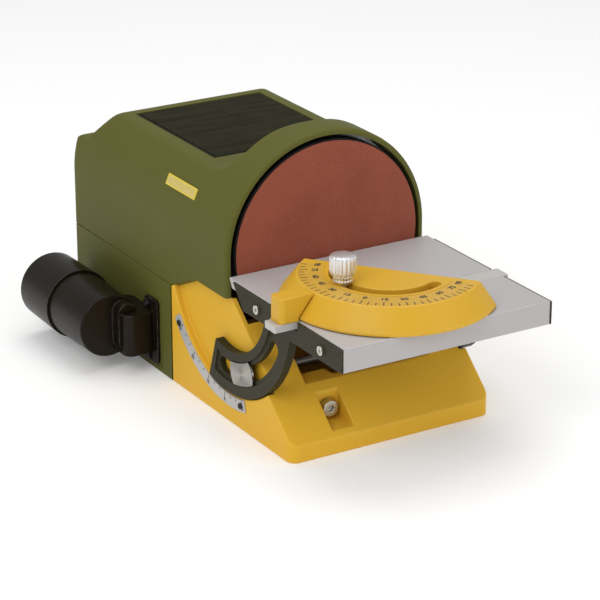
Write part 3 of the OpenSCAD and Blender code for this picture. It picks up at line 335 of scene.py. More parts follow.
def make_finishes():
    """One finish for each material slot of the record, then those of the clamp's face and of the print"""
    brushed_x = (0.02, 1, 1)
    brushed_y = (1, 0.02, 1)
    clamp = joint_at["tilt_clamp_turn"]
    return {
        "yellow_shell": finish("yellow_moulding", YELLOW, 0.48, tint=0.012, grain_share=0.05, depth=0.008, specular=0.2,
                               edge_tone=(0.82, 0.54, 0.12), rubbing=0.22),
        "yellow_gauge": finish("yellow_lacquer", shade(YELLOW, 0.86), 0.38, tint=0.012, grain_share=0.04, depth=0.004,
                               specular=0.25, edge_tone=(0.86, 0.58, 0.15), rubbing=0.22),
        "green_shell": finish("olive_moulding", OLIVE, 0.52, tint=0.02, grain_share=0.06, depth=0.010, specular=0.10,
                              edge_tone=(0.165, 0.17, 0.06)),
        "black_rubber": finish("ribbed_rubber", (0.0295, 0.029, 0.0150), 0.78, tint=0.10, grain=2.4, grain_share=1.0,
                               grain_shade=0.55, depth=0.02, stretch=(0.07, 1, 1), specular=0.15),
        "printed_plate": finish("yellow_print", (0.78, 0.60, 0.05), 0.4, depth=0.004, specular=0.3),
        "aluminium_strip": finish("pale_strip", (0.50, 0.50, 0.50), 0.42, metallic=0.35, tint=0.04, depth=0.006,
                                  stretch=brushed_y),
        "dark_screw": finish("black_oxide", (0.045, 0.045, 0.046), 0.4, metallic=0.9, tint=0.12, patch=6, depth=0.006,
                             edge_tone=(0.35, 0.35, 0.34)),
        "zinc_screw": finish("zinc_plate", ZINC, 0.32, metallic=1.0, tint=0.08, patch=4, depth=0.004,
                             edge_tone=(0.8, 0.8, 0.74)),
        "sheet_steel": finish("plated_sheet", (0.45, 0.45, 0.44), 0.38, metallic=0.95, tint=0.08, depth=0.006,
                              stretch=brushed_x),
        # paler rims of the black moulding: wear, and a painted highlight along the rounded edges
        "black_plastic": finish("black_moulding", BLACK, 0.34, tint=0.05, grain_share=0.06, depth=0.004, specular=0.16,
                                edge_tone=(0.14, 0.135, 0.12)),
        "cast_aluminium": finish("cast_aluminium", (0.46, 0.46, 0.46), 0.55, metallic=0.9, tint=0.10, grain=0.8,
                                 depth=0.06),
        "bright_steel": finish("turned_steel", (0.80, 0.79, 0.79), 0.36, metallic=1.0, tint=0.04, patch=8, depth=0.0004,
                               grain_share=0.03, stretch=brushed_x),
        "ferrite": finish("ferrite", (0.055, 0.055, 0.058), 0.62, tint=0.15, grain=0.7, depth=0.05),
        "carbon": finish("brush_carbon", (0.028, 0.028, 0.030), 0.5, metallic=0.25, tint=0.2, grain=0.3, depth=0.02),
        "core_steel": banded("core_laminations", (0.24, 0.235, 0.225), (0.05, 0.05, 0.05), 0.7, (0, 0, 90), 0.45, 0.8),
        "copper": banded("copper_bars", (0.70, 0.36, 0.20), (0.08, 0.05, 0.03), 1.4, (90, 0, 0), 0.3, 1.0),
        "disc_black": finish("disc_enamel", (0.006, 0.006, 0.006), 0.42, tint=0.12, depth=0.01, specular=0.15),
        "abrasive": abrasive_paper(),
        "board": finish("board_lacquer", (0.030, 0.115, 0.055), 0.35, tint=0.2, patch=6, grain=0.9, depth=0.03),
        "can_sleeve": finish("capacitor_sleeve", (0.05, 0.055, 0.10), 0.3, tint=0.1, depth=0.01),
        "red_plastic": finish("red_rocker", (0.38, 0.020, 0.014), 0.28, tint=0.05, depth=0.008, edge_tone=(0.6, 0.16, 0.13)),
        "black_steel": finish("black_rod", (0.17, 0.165, 0.15), 0.40, metallic=0.9, tint=0.1, depth=0.006,
                              stretch=brushed_x),
        "table_aluminium": finish("milled_aluminium", LIGHT_GREY, 0.44, metallic=0.12, tint=0.008, patch=90,
                                  grain_share=0.03, depth=0.0012, gloss=0.015, stretch=brushed_x, specular=0.3,
                                  edge_tone=(0.7, 0.7, 0.7)),
        "dark_casting": finish("grey_enamel", DARK_GREY, 0.45, tint=0.03, grain_share=0.06, depth=0.008, specular=0.13,
                               edge_tone=(0.13, 0.125, 0.11)),
        "bar_aluminium": finish("drawn_aluminium", (0.50, 0.48, 0.46), 0.42, metallic=0.1, tint=0.03, depth=0.002,
                                stretch=brushed_x),
        # the clamp's turned face carries a painted highlight
        "clamp_face_painted_sheen": spun_steel("spun_clamp_painted_sheen", clamp, (0, 90, 0), CLAMP_STEEL),
        "ink": finish("scale_ink", INK, 0.55, tint=0.15, patch=2, depth=0.002),
        "pale_print": finish("plain_panel", (0.95, 0.83, 0.30), 0.4, depth=0.002),
        "scale_band": finish("scale_band", (0.59, 0.345, 0.034), 0.44, depth=0.004),
        "white_print": finish("white_print", (0.75, 0.75, 0.73), 0.5, depth=0.002),
    }


def look_of(node):
    """Finish of a node: its slot's, or the turned face of the clamp blocks with its painted highlight"""
    return looks["clamp_face_painted_sheen" if node == "clamp_blocks" else slot_of[node]]


# Meshes

SMOOTH_DEG = 35.0
ROUND_SMOOTH_DEG = 50.0
FLAT_SMOOTH_DEG = 20.0
WELD_MM = 0.002
SLIVER_MM = 0.005
FLAT_DEG = 0.3
SHARP_DEG = 30.0
NEAR_MM = 0.1
WIDE_SEGMENTS = 5
# Room that a rounding needs, in its own widths: across a face, and along an edge that meets it, rounded or not
FACE_ROOM = 1.6
ROUNDED_EDGE_ROOM = 2.1
PLAIN_EDGE_ROOM = 1.1
BLUNT_DEG = 150.0
ROOM_PASSES = 3


def near(value, place_mm):
    """Whether a coordinate lies at a place that is given in millimetres"""
    return abs(value - place_mm * MM) < NEAR_MM * MM


def new_piece(name, bm, body, material, smooth_deg=SMOOTH_DEG):
    """Makes a piece that rides on a body from a bmesh, which is freed"""
    mesh = bpy.data.meshes.new(name)
    bm.to_mesh(mesh)
    bm.free()
    mesh.shade_smooth()
    mesh.set_sharp_from_angle(angle=math.radians(smooth_deg))
    mesh.materials.append(material)
    piece = bpy.data.objects.new(name, mesh)
    bpy.context.scene.collection.objects.link(piece)
    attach(piece, body)
    return piece


def bevelled(bm, edges, width_mm, segments, rubbed=1.0):
    """Rounds edges and marks how much the new faces are rubbed"""
    layer = bm.loops.layers.float.get("rubbed") or bm.loops.layers.float.new("rubbed")
    made = bmesh.ops.bevel(bm, geom=edges, offset=width_mm * MM, offset_type="OFFSET", segments=segments, profile=0.5,
                           affect="EDGES", clamp_overlap=False)
    for face in made["faces"]:
        for loop in face.loops:
            loop[layer] = rubbed


def clean_copy(node):
    """Node's mesh with its flat faces joined up"""
    bm = bmesh.new()
    bm.from_mesh(frame["nodes"][node].data)
    bmesh.ops.remove_doubles(bm, verts=bm.verts, dist=WELD_MM * MM)
    bmesh.ops.dissolve_limit(bm, angle_limit=math.radians(FLAT_DEG), verts=bm.verts, edges=bm.edges)
    bmesh.ops.dissolve_degenerate(bm, dist=SLIVER_MM * MM, edges=bm.edges)
    return bm


def sharp_edges(bm, width_mm):
    """Edges that turn sharply and have room for a rounding of this width"""
    limit = math.radians(SHARP_DEG)
    width = width_mm * MM
    found = {e for e in bm.edges if len(e.link_faces) == 2 and not e.seam and e.calc_face_angle(0.0) > limit}
    for _ in range(ROOM_PASSES):
        found -= {e for e in found if any(not has_room(loop, found, width) for loop in e.link_loops)}
    return [e for e in bm.edges if e in found]


def has_room(loop, chosen, width):
    """Whether a face leaves room for the rounding of one of its edges"""
    if loop.face.calc_area() / max(loop.edge.calc_length(), width) < FACE_ROOM * width:
        return False
    for side, corner in ((loop.link_loop_prev, loop), (loop.link_loop_next, loop.link_loop_next)):
        need = (ROUNDED_EDGE_ROOM if side.edge in chosen else PLAIN_EDGE_ROOM) * width
        if corner.calc_angle() < math.radians(BLUNT_DEG) and corner.is_convex and side.edge.calc_length() < need:
            return False
    return True


def mark_joint(bm, test):
    """Marks the faces of a joint for painted shade, and keeps their edges from being rounded"""
    layer = bm.loops.layers.float.new("joint_shade")
    bm.normal_update()
    for face in bm.faces:
        if test(face):
            for loop in face.loops:
                loop[layer] = 1.0
            for edge in face.edges:
                edge.seam = True


def soften(node, width_mm, segments=2, wide=None, wide_rubbed=0.2, open_joint=None, shaded_faces=None):
    """Stands for a node with its edges rounded. wide is a test for edges that are rounded more, with their width,
    open_joint the place of a face that is drawn back, so that its joint shows, and how far, and the last a test for
    the faces of a joint, which are darkened with painted shade"""
    bm = clean_copy(node)
    if open_joint:
        joint_mm, gap_mm = open_joint
        for vert in bm.verts:
            if near(vert.co.y, joint_mm):
                vert.co.y += gap_mm * MM
    if shaded_faces:
        mark_joint(bm, shaded_faces)
    if wide:
        test, wide_mm = wide
        chosen = [e for e in sharp_edges(bm, wide_mm) if test(e)]
        bevelled(bm, chosen, wide_mm, WIDE_SEGMENTS, wide_rubbed)
    bevelled(bm, sharp_edges(bm, width_mm), width_mm, segments)
    piece = new_piece(node + "_skin", bm, body_of[node], look_of(node))
    normals = piece.modifiers.new("even_normals", "WEIGHTED_NORMAL")
    normals.keep_sharp = True
    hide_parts(node)


def rounded_path(points, radii, steps):
    """Polyline in a plane with arcs in place of its inner corners"""
    path = [Vector(points[0])]
    for before, corner, after, radius in zip(points, points[1:], points[2:], radii):
        corner = Vector(corner)
        a, b = (Vector(before) - corner).normalized(), (Vector(after) - corner).normalized()
        half = a.angle(b) / 2
        reach = radius / math.tan(half)
        centre = corner + (a + b).normalized() * (radius / math.sin(half))
        start, end = corner + a * reach - centre, corner + b * reach - centre
        sweep = start.angle_signed(end)
        for k in range(steps + 1):
            path.append(centre + Matrix.Rotation(-sweep * k / steps, 2) @ start)
    path.append(Vector(points[-1]))
    return path


# Hood and mat, in millimetres

RIM_Y = HOOD_LOW.y / MM
REAR_Y = HOOD_HIGH.y / MM
ARCH_R = HALF_W / MM
HOOD_TOP = HOOD_HIGH.z / MM
WALL = 3.5
RING_LENGTH = 24.0
RING_END = RIM_Y + RING_LENGTH
RING_EDGE = 3.0
COVE_R = 18.0
PLATFORM_Z = 145.0
PLATFORM_END = 168.0
PLATFORM_ROUND = 9.0
LEDGE_Y = 188.0
LEDGE_Z = 124.0
LEDGE_ROUND = 5.0
SHOULDER_Z = 77.6
STEP_Y = 40.0
JOINT_Y = 69.5
PART_Z = 64.1
EDGE_BLEND = 4.0
RIM_ROUND = 2.4
REAR_ROUND = 7.0
REAR_SIDE_ROUND = 4.0
STATION_GAP = 3.0
CREASE_LIMIT_DEG = 84.0
CUT_REACH = 5.0
MAT_LOW, MAT_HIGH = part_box("top_mat")
MAT_GAP = 0.3
MAT_RIBS = 46
MAT_BORDER = 2.0
RIB_STEPS = 6
SWITCH_HALF_Y = 7.0
SWITCH_HALF_Z = 11.8
DIAL_BUSH_R = 5.1
VENTS = 9
VENT_W = 3.0
VENT_PITCH = 7.0
VENT_LOW = 74.0
VENT_HIGH = 104.0


def blend_min(a, b, width):
    """Lesser of two lengths, with a round passage between them"""
    part = max(width - abs(a - b), 0.0) / width
    return min(a, b) - part * part * width / 4


def hood_stations():
    """Places along the hood, each with the height of its flat top and how far its sides are drawn in"""
    steps = 8
    arc = [math.pi / 2 * k / steps for k in range(steps + 1)]
    open_top = HOOD_TOP + EDGE_BLEND
    rows = [(RIM_Y + RIM_ROUND * (1 - math.sin(a)), open_top, RIM_ROUND * (1 - math.cos(a))) for a in reversed(arc)]
    edge_start, over_ring = RING_END - RING_EDGE, HOOD_TOP + 1.0
    rows += [(edge_start - 1.0 - k, open_top, 0.0) for k in (12.0, 6.0, 0.0)]
    profile = rounded_path(
        [(edge_start - 0.5, over_ring), (RING_END, over_ring), (RING_END, PLATFORM_Z), (PLATFORM_END, PLATFORM_Z),
         (LEDGE_Y, LEDGE_Z), (REAR_Y - REAR_ROUND, LEDGE_Z)],
        [RING_EDGE, COVE_R, PLATFORM_ROUND, LEDGE_ROUND], steps=10)
    dense = [profile[0]]
    for point in profile[1:]:
        start = dense[-1]
        gap = point - start
        parts = max(1, round(gap.length / STATION_GAP))
        dense += [start + gap * (k + 1) / parts for k in range(parts)]
    for y in (STEP_Y, JOINT_Y):
        closest = min(range(len(dense)), key=lambda i: abs(dense[i].x - y))
        dense[closest].x = y
    rows += [(p.x, p.y, 0.0) for p in dense]
    for a in arc[1:]:
        y = REAR_Y - REAR_ROUND * (1 - math.sin(a))
        past = max(0.0, y - (REAR_Y - REAR_SIDE_ROUND))
        inset = REAR_SIDE_ROUND - math.sqrt(REAR_SIDE_ROUND ** 2 - past ** 2)
        rows.append((y, LEDGE_Z - REAR_ROUND * (1 - math.cos(a)), inset))
    return rows


def hood_foot(y):
    """Height of the hood's lower edge, which slopes from the shoulder down to the parting line"""
    if y <= STEP_Y:
        return SHOULDER_Z
    return max(PART_Z, SHOULDER_Z - (y - STEP_Y) * (SHOULDER_Z - PART_Z) / (JOINT_Y - STEP_Y))


def hood_section(y, top, inset, wall=0.0):
    """Outline of the hood across its length, from the lower left edge over the arch to the lower right.
    Its points keep their places beside the crease of arch and flat top, so the lines along the hood follow it"""
    sides, arch, turn, flat_steps = 7, 26, 12, 12
    foot = hood_foot(y)
    axis_z = AXIS_Z / MM
    radius = ARCH_R - inset - wall
    rise = top - axis_z - wall
    crease = min(math.asin(min(rise / radius, 1.0)), math.radians(CREASE_LIMIT_DEG))
    spread = min(EDGE_BLEND * math.tan(crease) / radius, 0.7 * (math.pi / 2 - crease), 0.5 * crease)
    angles = [(crease - spread) * k / arch for k in range(arch)]
    angles += [crease + spread * (2 * k / turn - 1) for k in range(turn)]
    angles += [crease + spread + (math.pi / 2 - crease - spread) * k / flat_steps for k in range(flat_steps + 1)]
    left = [(-radius, foot + (axis_z - foot) * k / sides) for k in range(sides)]
    for angle in angles:
        reach = blend_min(radius, rise / max(math.sin(angle), 1e-6), EDGE_BLEND)
        left.append((-reach * math.cos(angle), axis_z + reach * math.sin(angle)))
    return left + [(-x, z) for x, z in reversed(left[:-1])]


def add_block(bm, low, high):
    """Box between two corners, in millimetres"""
    low, high = Vector(low) * MM, Vector(high) * MM
    place = Matrix.Translation((low + high) / 2) @ Matrix.Diagonal((*(high - low), 1.0))
    bmesh.ops.create_cube(bm, size=1.0, matrix=place)


def hood_openings():
    """Mesh of the recess for the mat, the holes for the switch and the dial, and the rear wall's cooling slots"""
    bm = bmesh.new()
    low, high = MAT_LOW / MM, MAT_HIGH / MM
    add_block(bm, (low.x - MAT_GAP, low.y - MAT_GAP, low.z), (high.x + MAT_GAP, high.y + MAT_GAP, high.z + CUT_REACH))
    switch = joint_at["power_rocker_tip"] / MM
    add_block(bm, (ARCH_R - WALL - CUT_REACH, switch.y - SWITCH_HALF_Y, switch.z - SWITCH_HALF_Z),
              (ARCH_R + CUT_REACH, switch.y + SWITCH_HALF_Y, switch.z + SWITCH_HALF_Z))
    dial = joint_at["speed_dial_turn"]
    turn = Matrix.Translation((HALF_W, dial.y, dial.z)) @ Matrix.Rotation(math.pi / 2, 4, "Y")
    bmesh.ops.create_cone(bm, cap_ends=True, segments=32, radius1=DIAL_BUSH_R * MM, radius2=DIAL_BUSH_R * MM,
                          depth=2 * CUT_REACH * MM, matrix=turn)
    for k in range(VENTS):
        x = (k - (VENTS - 1) / 2) * VENT_PITCH
        add_block(bm, (x - VENT_W / 2, REAR_Y - WALL - CUT_REACH, VENT_LOW),
                  (x + VENT_W / 2, REAR_Y + CUT_REACH, VENT_HIGH))
    mesh = bpy.data.meshes.new("hood_openings")
    bm.to_mesh(mesh)
    bm.free()
    return mesh


def make_hood():
    """Hollow shell that is drawn along its length, with its openings cut out"""
    bm = bmesh.new()
    outer, inner = [], []
    for y, top, inset in hood_stations():
        inner_y = y - WALL * min((y - RIM_Y) / (RING_END - RIM_Y), 1.0)
        outer.append([bm.verts.new(Vector((x, y, z)) * MM) for x, z in hood_section(y, top, inset)])
        inner.append([bm.verts.new(Vector((x, inner_y, z)) * MM) for x, z in hood_section(y, top, 0.0, WALL)])
    last = len(outer[0]) - 1
    for k in range(len(outer) - 1):
        for i in range(last):
            bm.faces.new((outer[k][i], outer[k][i + 1], outer[k + 1][i + 1], outer[k + 1][i]))
            bm.faces.new((inner[k][i], inner[k + 1][i], inner[k + 1][i + 1], inner[k][i + 1]))
        for i in (0, last):
            bm.faces.new((outer[k][i], outer[k + 1][i], inner[k + 1][i], inner[k][i]))
    for i in range(last):
        bm.faces.new((outer[0][i], inner[0][i], inner[0][i + 1], outer[0][i + 1]))
    bm.faces.new(outer[-1])
    bm.faces.new(inner[-1])
    bm.faces.new((outer[-1][0], inner[-1][0], inner[-1][last], outer[-1][last]))
    bmesh.ops.recalc_face_normals(bm, faces=bm.faces)
    hood = new_piece("upper_housing_skin", bm, body_of["upper_housing"], looks["green_shell"])
    cutter = bpy.data.objects.new("hood_openings", hood_openings())
    bpy.context.scene.collection.objects.link(cutter)
    recess = hood.modifiers.new("openings", "BOOLEAN")
    recess.object = cutter
    recess.operation = "DIFFERENCE"
    baked = bpy.data.meshes.new_from_object(hood.evaluated_get(bpy.context.evaluated_depsgraph_get()))
    hood.modifiers.clear()
    hood.data = baked
    bpy.data.objects.remove(cutter)
    baked.shade_smooth()
    baked.set_sharp_from_angle(angle=math.radians(SMOOTH_DEG))
    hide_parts("upper_housing")


def make_mat():
    """Mat with rounded ribs across it, and a low border all round where it lies in its recess"""
    low, high = MAT_LOW / MM, MAT_HIGH / MM
    x0, x1, y0, y1 = low.x + MAT_BORDER, high.x - MAT_BORDER, low.y + MAT_BORDER, high.y - MAT_BORDER
    pitch = (y1 - y0) / MAT_RIBS
    valley = high.z - pitch / 2
    bm = bmesh.new()
    rows = [(y0 + pitch * k / RIB_STEPS, valley + pitch / 2 * abs(math.sin(math.pi * k / RIB_STEPS)))
            for k in range(MAT_RIBS * RIB_STEPS + 1)]
    left, right = ([bm.verts.new(Vector((x, y, z)) * MM) for y, z in rows] for x in (x0, x1))
    for k in range(len(rows) - 1):
        bm.faces.new((left[k], right[k], right[k + 1], left[k + 1]))
    for side in (left, right):
        for k in range(0, len(rows) - 1, RIB_STEPS):
            bm.faces.new(side[k:k + RIB_STEPS + 1])
    corners = rectangle(low.x, low.y, high.x, high.y)
    brim, foot = ([bm.verts.new(Vector((x, y, z)) * MM) for x, y in corners] for z in (valley, low.z))
    bm.faces.new((brim[0], brim[1], right[0], left[0]))
    bm.faces.new((brim[2], brim[3], left[-1], right[-1]))
    bm.faces.new([brim[1], brim[2]] + right[::-RIB_STEPS])
    bm.faces.new([brim[3], brim[0]] + left[::RIB_STEPS])
    for i in range(4):
        j = (i + 1) % 4
        bm.faces.new((foot[i], foot[j], brim[j], brim[i]))
    bm.faces.new(foot)
    bmesh.ops.recalc_face_normals(bm, faces=bm.faces)
    mat = new_piece("top_mat_skin", bm, body_of["top_mat"], looks["black_rubber"],
                    smooth_deg=ROUND_SMOOTH_DEG)
    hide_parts("top_mat")


# Knob of the mitre gauge, in millimetres

KNOB_BORE_R = 2.7
KNOB_COLLAR_H = 5.0
KNOB_COLLAR_SHARE = 0.78
KNOB_COLLAR_STEPS = 24
KNOB_SIDE_STEPS = 6
KNOB_FLUTES = 18
KNOB_FLUTE_DEPTH = 0.5
KNOB_BEADS = 20
KNOB_BEAD_DEPTH = 0.45
KNOB_AROUND = 360


def knob_profile(head_r, top):
    """Rows from the knob's underside to the middle of its top: radius, height, share of the flutes and of the beads"""
    collar_r, collar_h = head_r * KNOB_COLLAR_SHARE, KNOB_COLLAR_H
    rows = [(KNOB_BORE_R, 0.0, 0.0, 0.0), (collar_r - 0.5, 0.0, 0.0, 0.0)]
    for k in range(1, KNOB_COLLAR_STEPS):
        bead_row = math.sin(2 * math.pi * k / KNOB_COLLAR_STEPS) ** 2
        rows.append((collar_r, collar_h * k / KNOB_COLLAR_STEPS, 0.0, bead_row))
    rows += [(collar_r - 0.4, collar_h, 0.0, 0.0),
             (head_r - 0.9, collar_h, 0.0, 0.0),
             (head_r - 0.25, collar_h + 0.25, 0.5, 0.0),
             (head_r, collar_h + 0.9, 1.0, 0.0)]
    for k in range(1, KNOB_SIDE_STEPS + 1):
        rows.append((head_r, collar_h + 0.9 + (top - collar_h - 2.0) * k / KNOB_SIDE_STEPS, 1.0, 0.0))
    rows += [(head_r - 0.12, top - 0.85, 0.9, 0.0),
             (head_r - 0.5, top - 0.48, 0.45, 0.0),
             (head_r - 1.0, top - 0.33, 0.0, 0.0),
             (head_r * 0.6, top - 0.12, 0.0, 0.0),
             (head_r * 0.3, top - 0.03, 0.0, 0.0),
             (0.4, top, 0.0, 0.0)]
    return rows


def make_gauge_knob():
    """Turned knob: fluted head with a slightly domed top, over a collar with two rows of beads"""
    low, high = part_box("gauge_knob")
    centre = joint_at["gauge_knob_turn"]
    bm = bmesh.new()
    rings = []
    for radius, z, fluted, beaded in knob_profile((high.x - low.x) / 2 / MM, (high.z - low.z) / MM):
        ring = []
        for k in range(KNOB_AROUND):
            a = 2 * math.pi * k / KNOB_AROUND
            groove = (0.5 + 0.5 * math.cos(KNOB_FLUTES * a)) ** 1.5
            bead = abs(math.cos(KNOB_BEADS / 2 * a))
            on_collar = 0 < z < KNOB_COLLAR_H
            hollow = KNOB_BEAD_DEPTH * (1 - beaded * bead) if on_collar else 0.0
            r = radius - KNOB_FLUTE_DEPTH * fluted * groove - hollow
            x, y = centre.x + r * MM * math.cos(a), centre.y + r * MM * math.sin(a)
            ring.append(bm.verts.new((x, y, low.z + z * MM)))
        rings.append(ring)
    for before, after in zip(rings, rings[1:]):
        for i in range(KNOB_AROUND):
            j = (i + 1) % KNOB_AROUND
            bm.faces.new((before[i], before[j], after[j], after[i]))
    bm.faces.new(rings[-1])
    bm.faces.new(list(reversed(rings[0])))
    knob = new_piece("gauge_knob_skin", bm, body_of["gauge_knob"], looks["bright_steel"],
                     smooth_deg=ROUND_SMOOTH_DEG)
    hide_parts("gauge_knob")


# Printed scales and marks, in millimetres and degrees

PRINT_LIFT = 0.06
TEXT_DEPTH = 0.03
TICK_W = 0.6
TICK_EVERY = 5
LONG_EVERY = 15

GAUGE_SET_DEG = -51.0
GAUGE_RING_IN = 38.2
GAUGE_RING_OUT = 51.8
GAUGE_RING_ENDS = (-178, -2)
GAUGE_RIDGE_W = 0.9
GAUGE_RIDGE_H = 0.3
GAUGE_LONG_TICK = 5.0
GAUGE_SHORT_TICK = 3.6
GAUGE_NUMBER_R = 42.6
GAUGE_NUMBER_LIMIT = 86.5
GAUGE_NUMBER_SIZE = 4.8
GAUGE_NUMBER_BOLD = 0.16

TILT_ZERO_DEG = 86.5
TILT_TICK_R = 74.8
TILT_LONG_TICK = 2.8
TILT_SHORT_TICK = 2.0
TILT_NUMBER_R = 79.6
TILT_NUMBER_SIZE = 3.4
TILT_NUMBER_BOLD = 0.12
INDEX_R = 69.4
INDEX_L = 3.4
INDEX_W = 0.7

ROCKER_BAR = (-0.45, 3.4, 0.45, 7.0)
ROCKER_RING_Y = -5.2
ROCKER_RING_IN = 1.1
ROCKER_RING_OUT = 1.9
POINTER_R = 2.5
POINTER_L = 6.3
POINTER_W = 0.9
DIAL_STEPS = 6
DIAL_FIRST_DEG = 225
DIAL_SWEEP_DEG = 270
DIAL_TICK_R = 12.4
DIAL_TICK_L = 1.6
DIAL_NUMBER_R = 16.2
DIAL_NUMBER_SIZE = 3.6

PORT_FRAME = (-104.0, 3.0, -83.2, 49.6)
PORT_FRAME_W = 0.8
PORT_FRAME_H = 0.4

PLATE_T = 0.5
PANEL_MARGIN = 1.0
PANEL_SIDE = 0.9
PANEL_RISE = 1.0006
PANEL_T = 0.05
PANEL_STEPS = 6

# Planes on the machine's left and right side, which look outward
LEFT_SIDE = Matrix(((0, 0, -1, 0), (-1, 0, 0, 0), (0, 1, 0, 0), (0, 0, 0, 1)))
RIGHT_SIDE = Matrix(((0, 0, 1, 0), (1, 0, 0, 0), (0, 1, 0, 0), (0, 0, 0, 1)))


def flat_marks(name, polygons, place, body, material, lift_mm=PRINT_LIFT):
    """Thin printed or raised marks: closed outlines in a plane"""
    lift = lift_mm * MM
    bm = bmesh.new()
    for outline in polygons:
        low = [bm.verts.new(Vector((x, y, 0)) * MM) for x, y in outline]
        high = [bm.verts.new(Vector((x * MM, y * MM, lift))) for x, y in outline]
        bm.faces.new(high)
        bm.faces.new(list(reversed(low)))
        for i in range(len(low)):
            j = (i + 1) % len(low)
            bm.faces.new((low[i], low[j], high[j], high[i]))
    bmesh.ops.recalc_face_normals(bm, faces=bm.faces)
    bm.transform(place)
    new_piece(name, bm, body, material, smooth_deg=FLAT_SMOOTH_DEG)


def rectangle(x0, y0, x1, y1):
    """Outline of a rectangle between two corners"""
    return [(x0, y0), (x1, y0), (x1, y1), (x0, y1)]


def tick(radius, length, width, angle_deg):
    """Outline of a mark that points along a radius"""
    a = math.radians(angle_deg)
    along, across = Vector((math.cos(a), math.sin(a))), Vector((-math.sin(a), math.cos(a)))
    start, end, half = along * radius, along * (radius + length), across * (width / 2)
    return [tuple(p) for p in (start - half, end - half, end + half, start + half)]


def band(inner, outer, a0, a1, steps=48):
    """Outline of a ring's part between two angles"""
    angles = [math.radians(a0 + (a1 - a0) * k / steps) for k in range(steps + 1)]
    return [(outer * math.cos(a), outer * math.sin(a)) for a in angles] + \
        [(inner * math.cos(a), inner * math.sin(a)) for a in reversed(angles)]


def label(number, radius, angle_deg, turn_deg):
    """Number at a place on a circle, for numerals"""
    a = math.radians(angle_deg)
    return str(number), radius * math.cos(a), radius * math.sin(a), turn_deg


def numerals(name, labels, size_mm, place, body, material, bold_mm=0.0):
    """Plain numbers: each label is a text, its place in the plane and its turn"""
    whole = bmesh.new()
    for text, x, y, turn in labels:
        curve = bpy.data.curves.new(name, "FONT")
        curve.body = text
        curve.size = size_mm * MM
        curve.align_x = "CENTER"
        curve.align_y = "CENTER"
        curve.extrude = TEXT_DEPTH * MM
        curve.offset = bold_mm * MM
        curve.resolution_u = 4
        holder = bpy.data.objects.new(name, curve)
        bpy.context.scene.collection.objects.link(holder)
        bpy.context.view_layer.update()
        mesh = bpy.data.meshes.new_from_object(holder.evaluated_get(bpy.context.evaluated_depsgraph_get()))
        bpy.data.objects.remove(holder)
        spot = Matrix.Translation((x * MM, y * MM, TEXT_DEPTH * MM))
        mesh.transform(spot @ Matrix.Rotation(math.radians(turn), 4, "Z"))
        whole.from_mesh(mesh)
        bpy.data.meshes.remove(mesh)
    whole.transform(place)
    new_piece(name, whole, body, material, smooth_deg=FLAT_SMOOTH_DEG)


def make_gauge_scale():
    """Degree ring on the protractor, zero in its middle, and the ridge that borders it"""
    place = Matrix.Translation((GAUGE_PIVOT.x, GAUGE_PIVOT.y, GAUGE_TOP)) @ \
        Matrix.Rotation(math.radians(GAUGE_SET_DEG), 4, "Z")
    ring = band(GAUGE_RING_IN, GAUGE_RING_OUT, *GAUGE_RING_ENDS)
    ridge = band(GAUGE_RING_IN - GAUGE_RIDGE_W, GAUGE_RING_IN, *GAUGE_RING_ENDS)
    flat_marks("gauge_scale_band", [ring], place, "gauge_head", looks["scale_band"])
    flat_marks("gauge_scale_ridge", [ridge], place, "gauge_head", looks["yellow_gauge"], GAUGE_RIDGE_H)
    raised = place @ Matrix.Translation((0, 0, PRINT_LIFT * MM))
    marks = []
    for degree in range(-85, 86, TICK_EVERY):
        length = GAUGE_LONG_TICK if degree % LONG_EVERY == 0 else GAUGE_SHORT_TICK
        marks.append(tick(GAUGE_RING_OUT - length, length, TICK_W, -90 + degree))
    flat_marks("gauge_scale_ticks", marks, raised, "gauge_head", looks["ink"])
    labels = []
    for degree in range(-90, 91, LONG_EVERY):
        inside = max(-GAUGE_NUMBER_LIMIT, min(GAUGE_NUMBER_LIMIT, degree))
        labels.append(label(abs(degree), GAUGE_NUMBER_R, -90 + inside, degree))
    numerals("gauge_scale_numbers", labels, GAUGE_NUMBER_SIZE, raised, "gauge_head", looks["ink"], GAUGE_NUMBER_BOLD)


def make_tilt_scale():
    """Degree marks on the strip beside the sector, and the index on the sector"""
    centre = Vector((0, TILT_AXIS.y, TILT_AXIS.z))
    strip = Matrix.Translation(centre + Vector((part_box("scale_strip")[0].x, 0, 0))) @ LEFT_SIDE
    marks, labels = [], []
    for degree in range(-15, 46, TICK_EVERY):
        angle = -(180 - TILT_ZERO_DEG + degree)
        long_mark = degree % LONG_EVERY == 0
        marks.append(tick(TILT_TICK_R, TILT_LONG_TICK if long_mark else TILT_SHORT_TICK, TICK_W, angle))
        if long_mark:
            labels.append(label(abs(degree), TILT_NUMBER_R, angle, angle + 90))
    flat_marks("tilt_scale_ticks", marks, strip, "sander", looks["ink"])
    numerals("tilt_scale_numbers", labels, TILT_NUMBER_SIZE, strip, "sander", looks["ink"], TILT_NUMBER_BOLD)
    sector = Matrix.Translation(centre + Vector((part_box("left_bracket")[0].x, 0, 0))) @ LEFT_SIDE
    index = tick(INDEX_R, INDEX_L, INDEX_W, -(180 - TILT_ZERO_DEG))
    flat_marks("tilt_index", [index], sector, "tilting_table", looks["disc_black"])


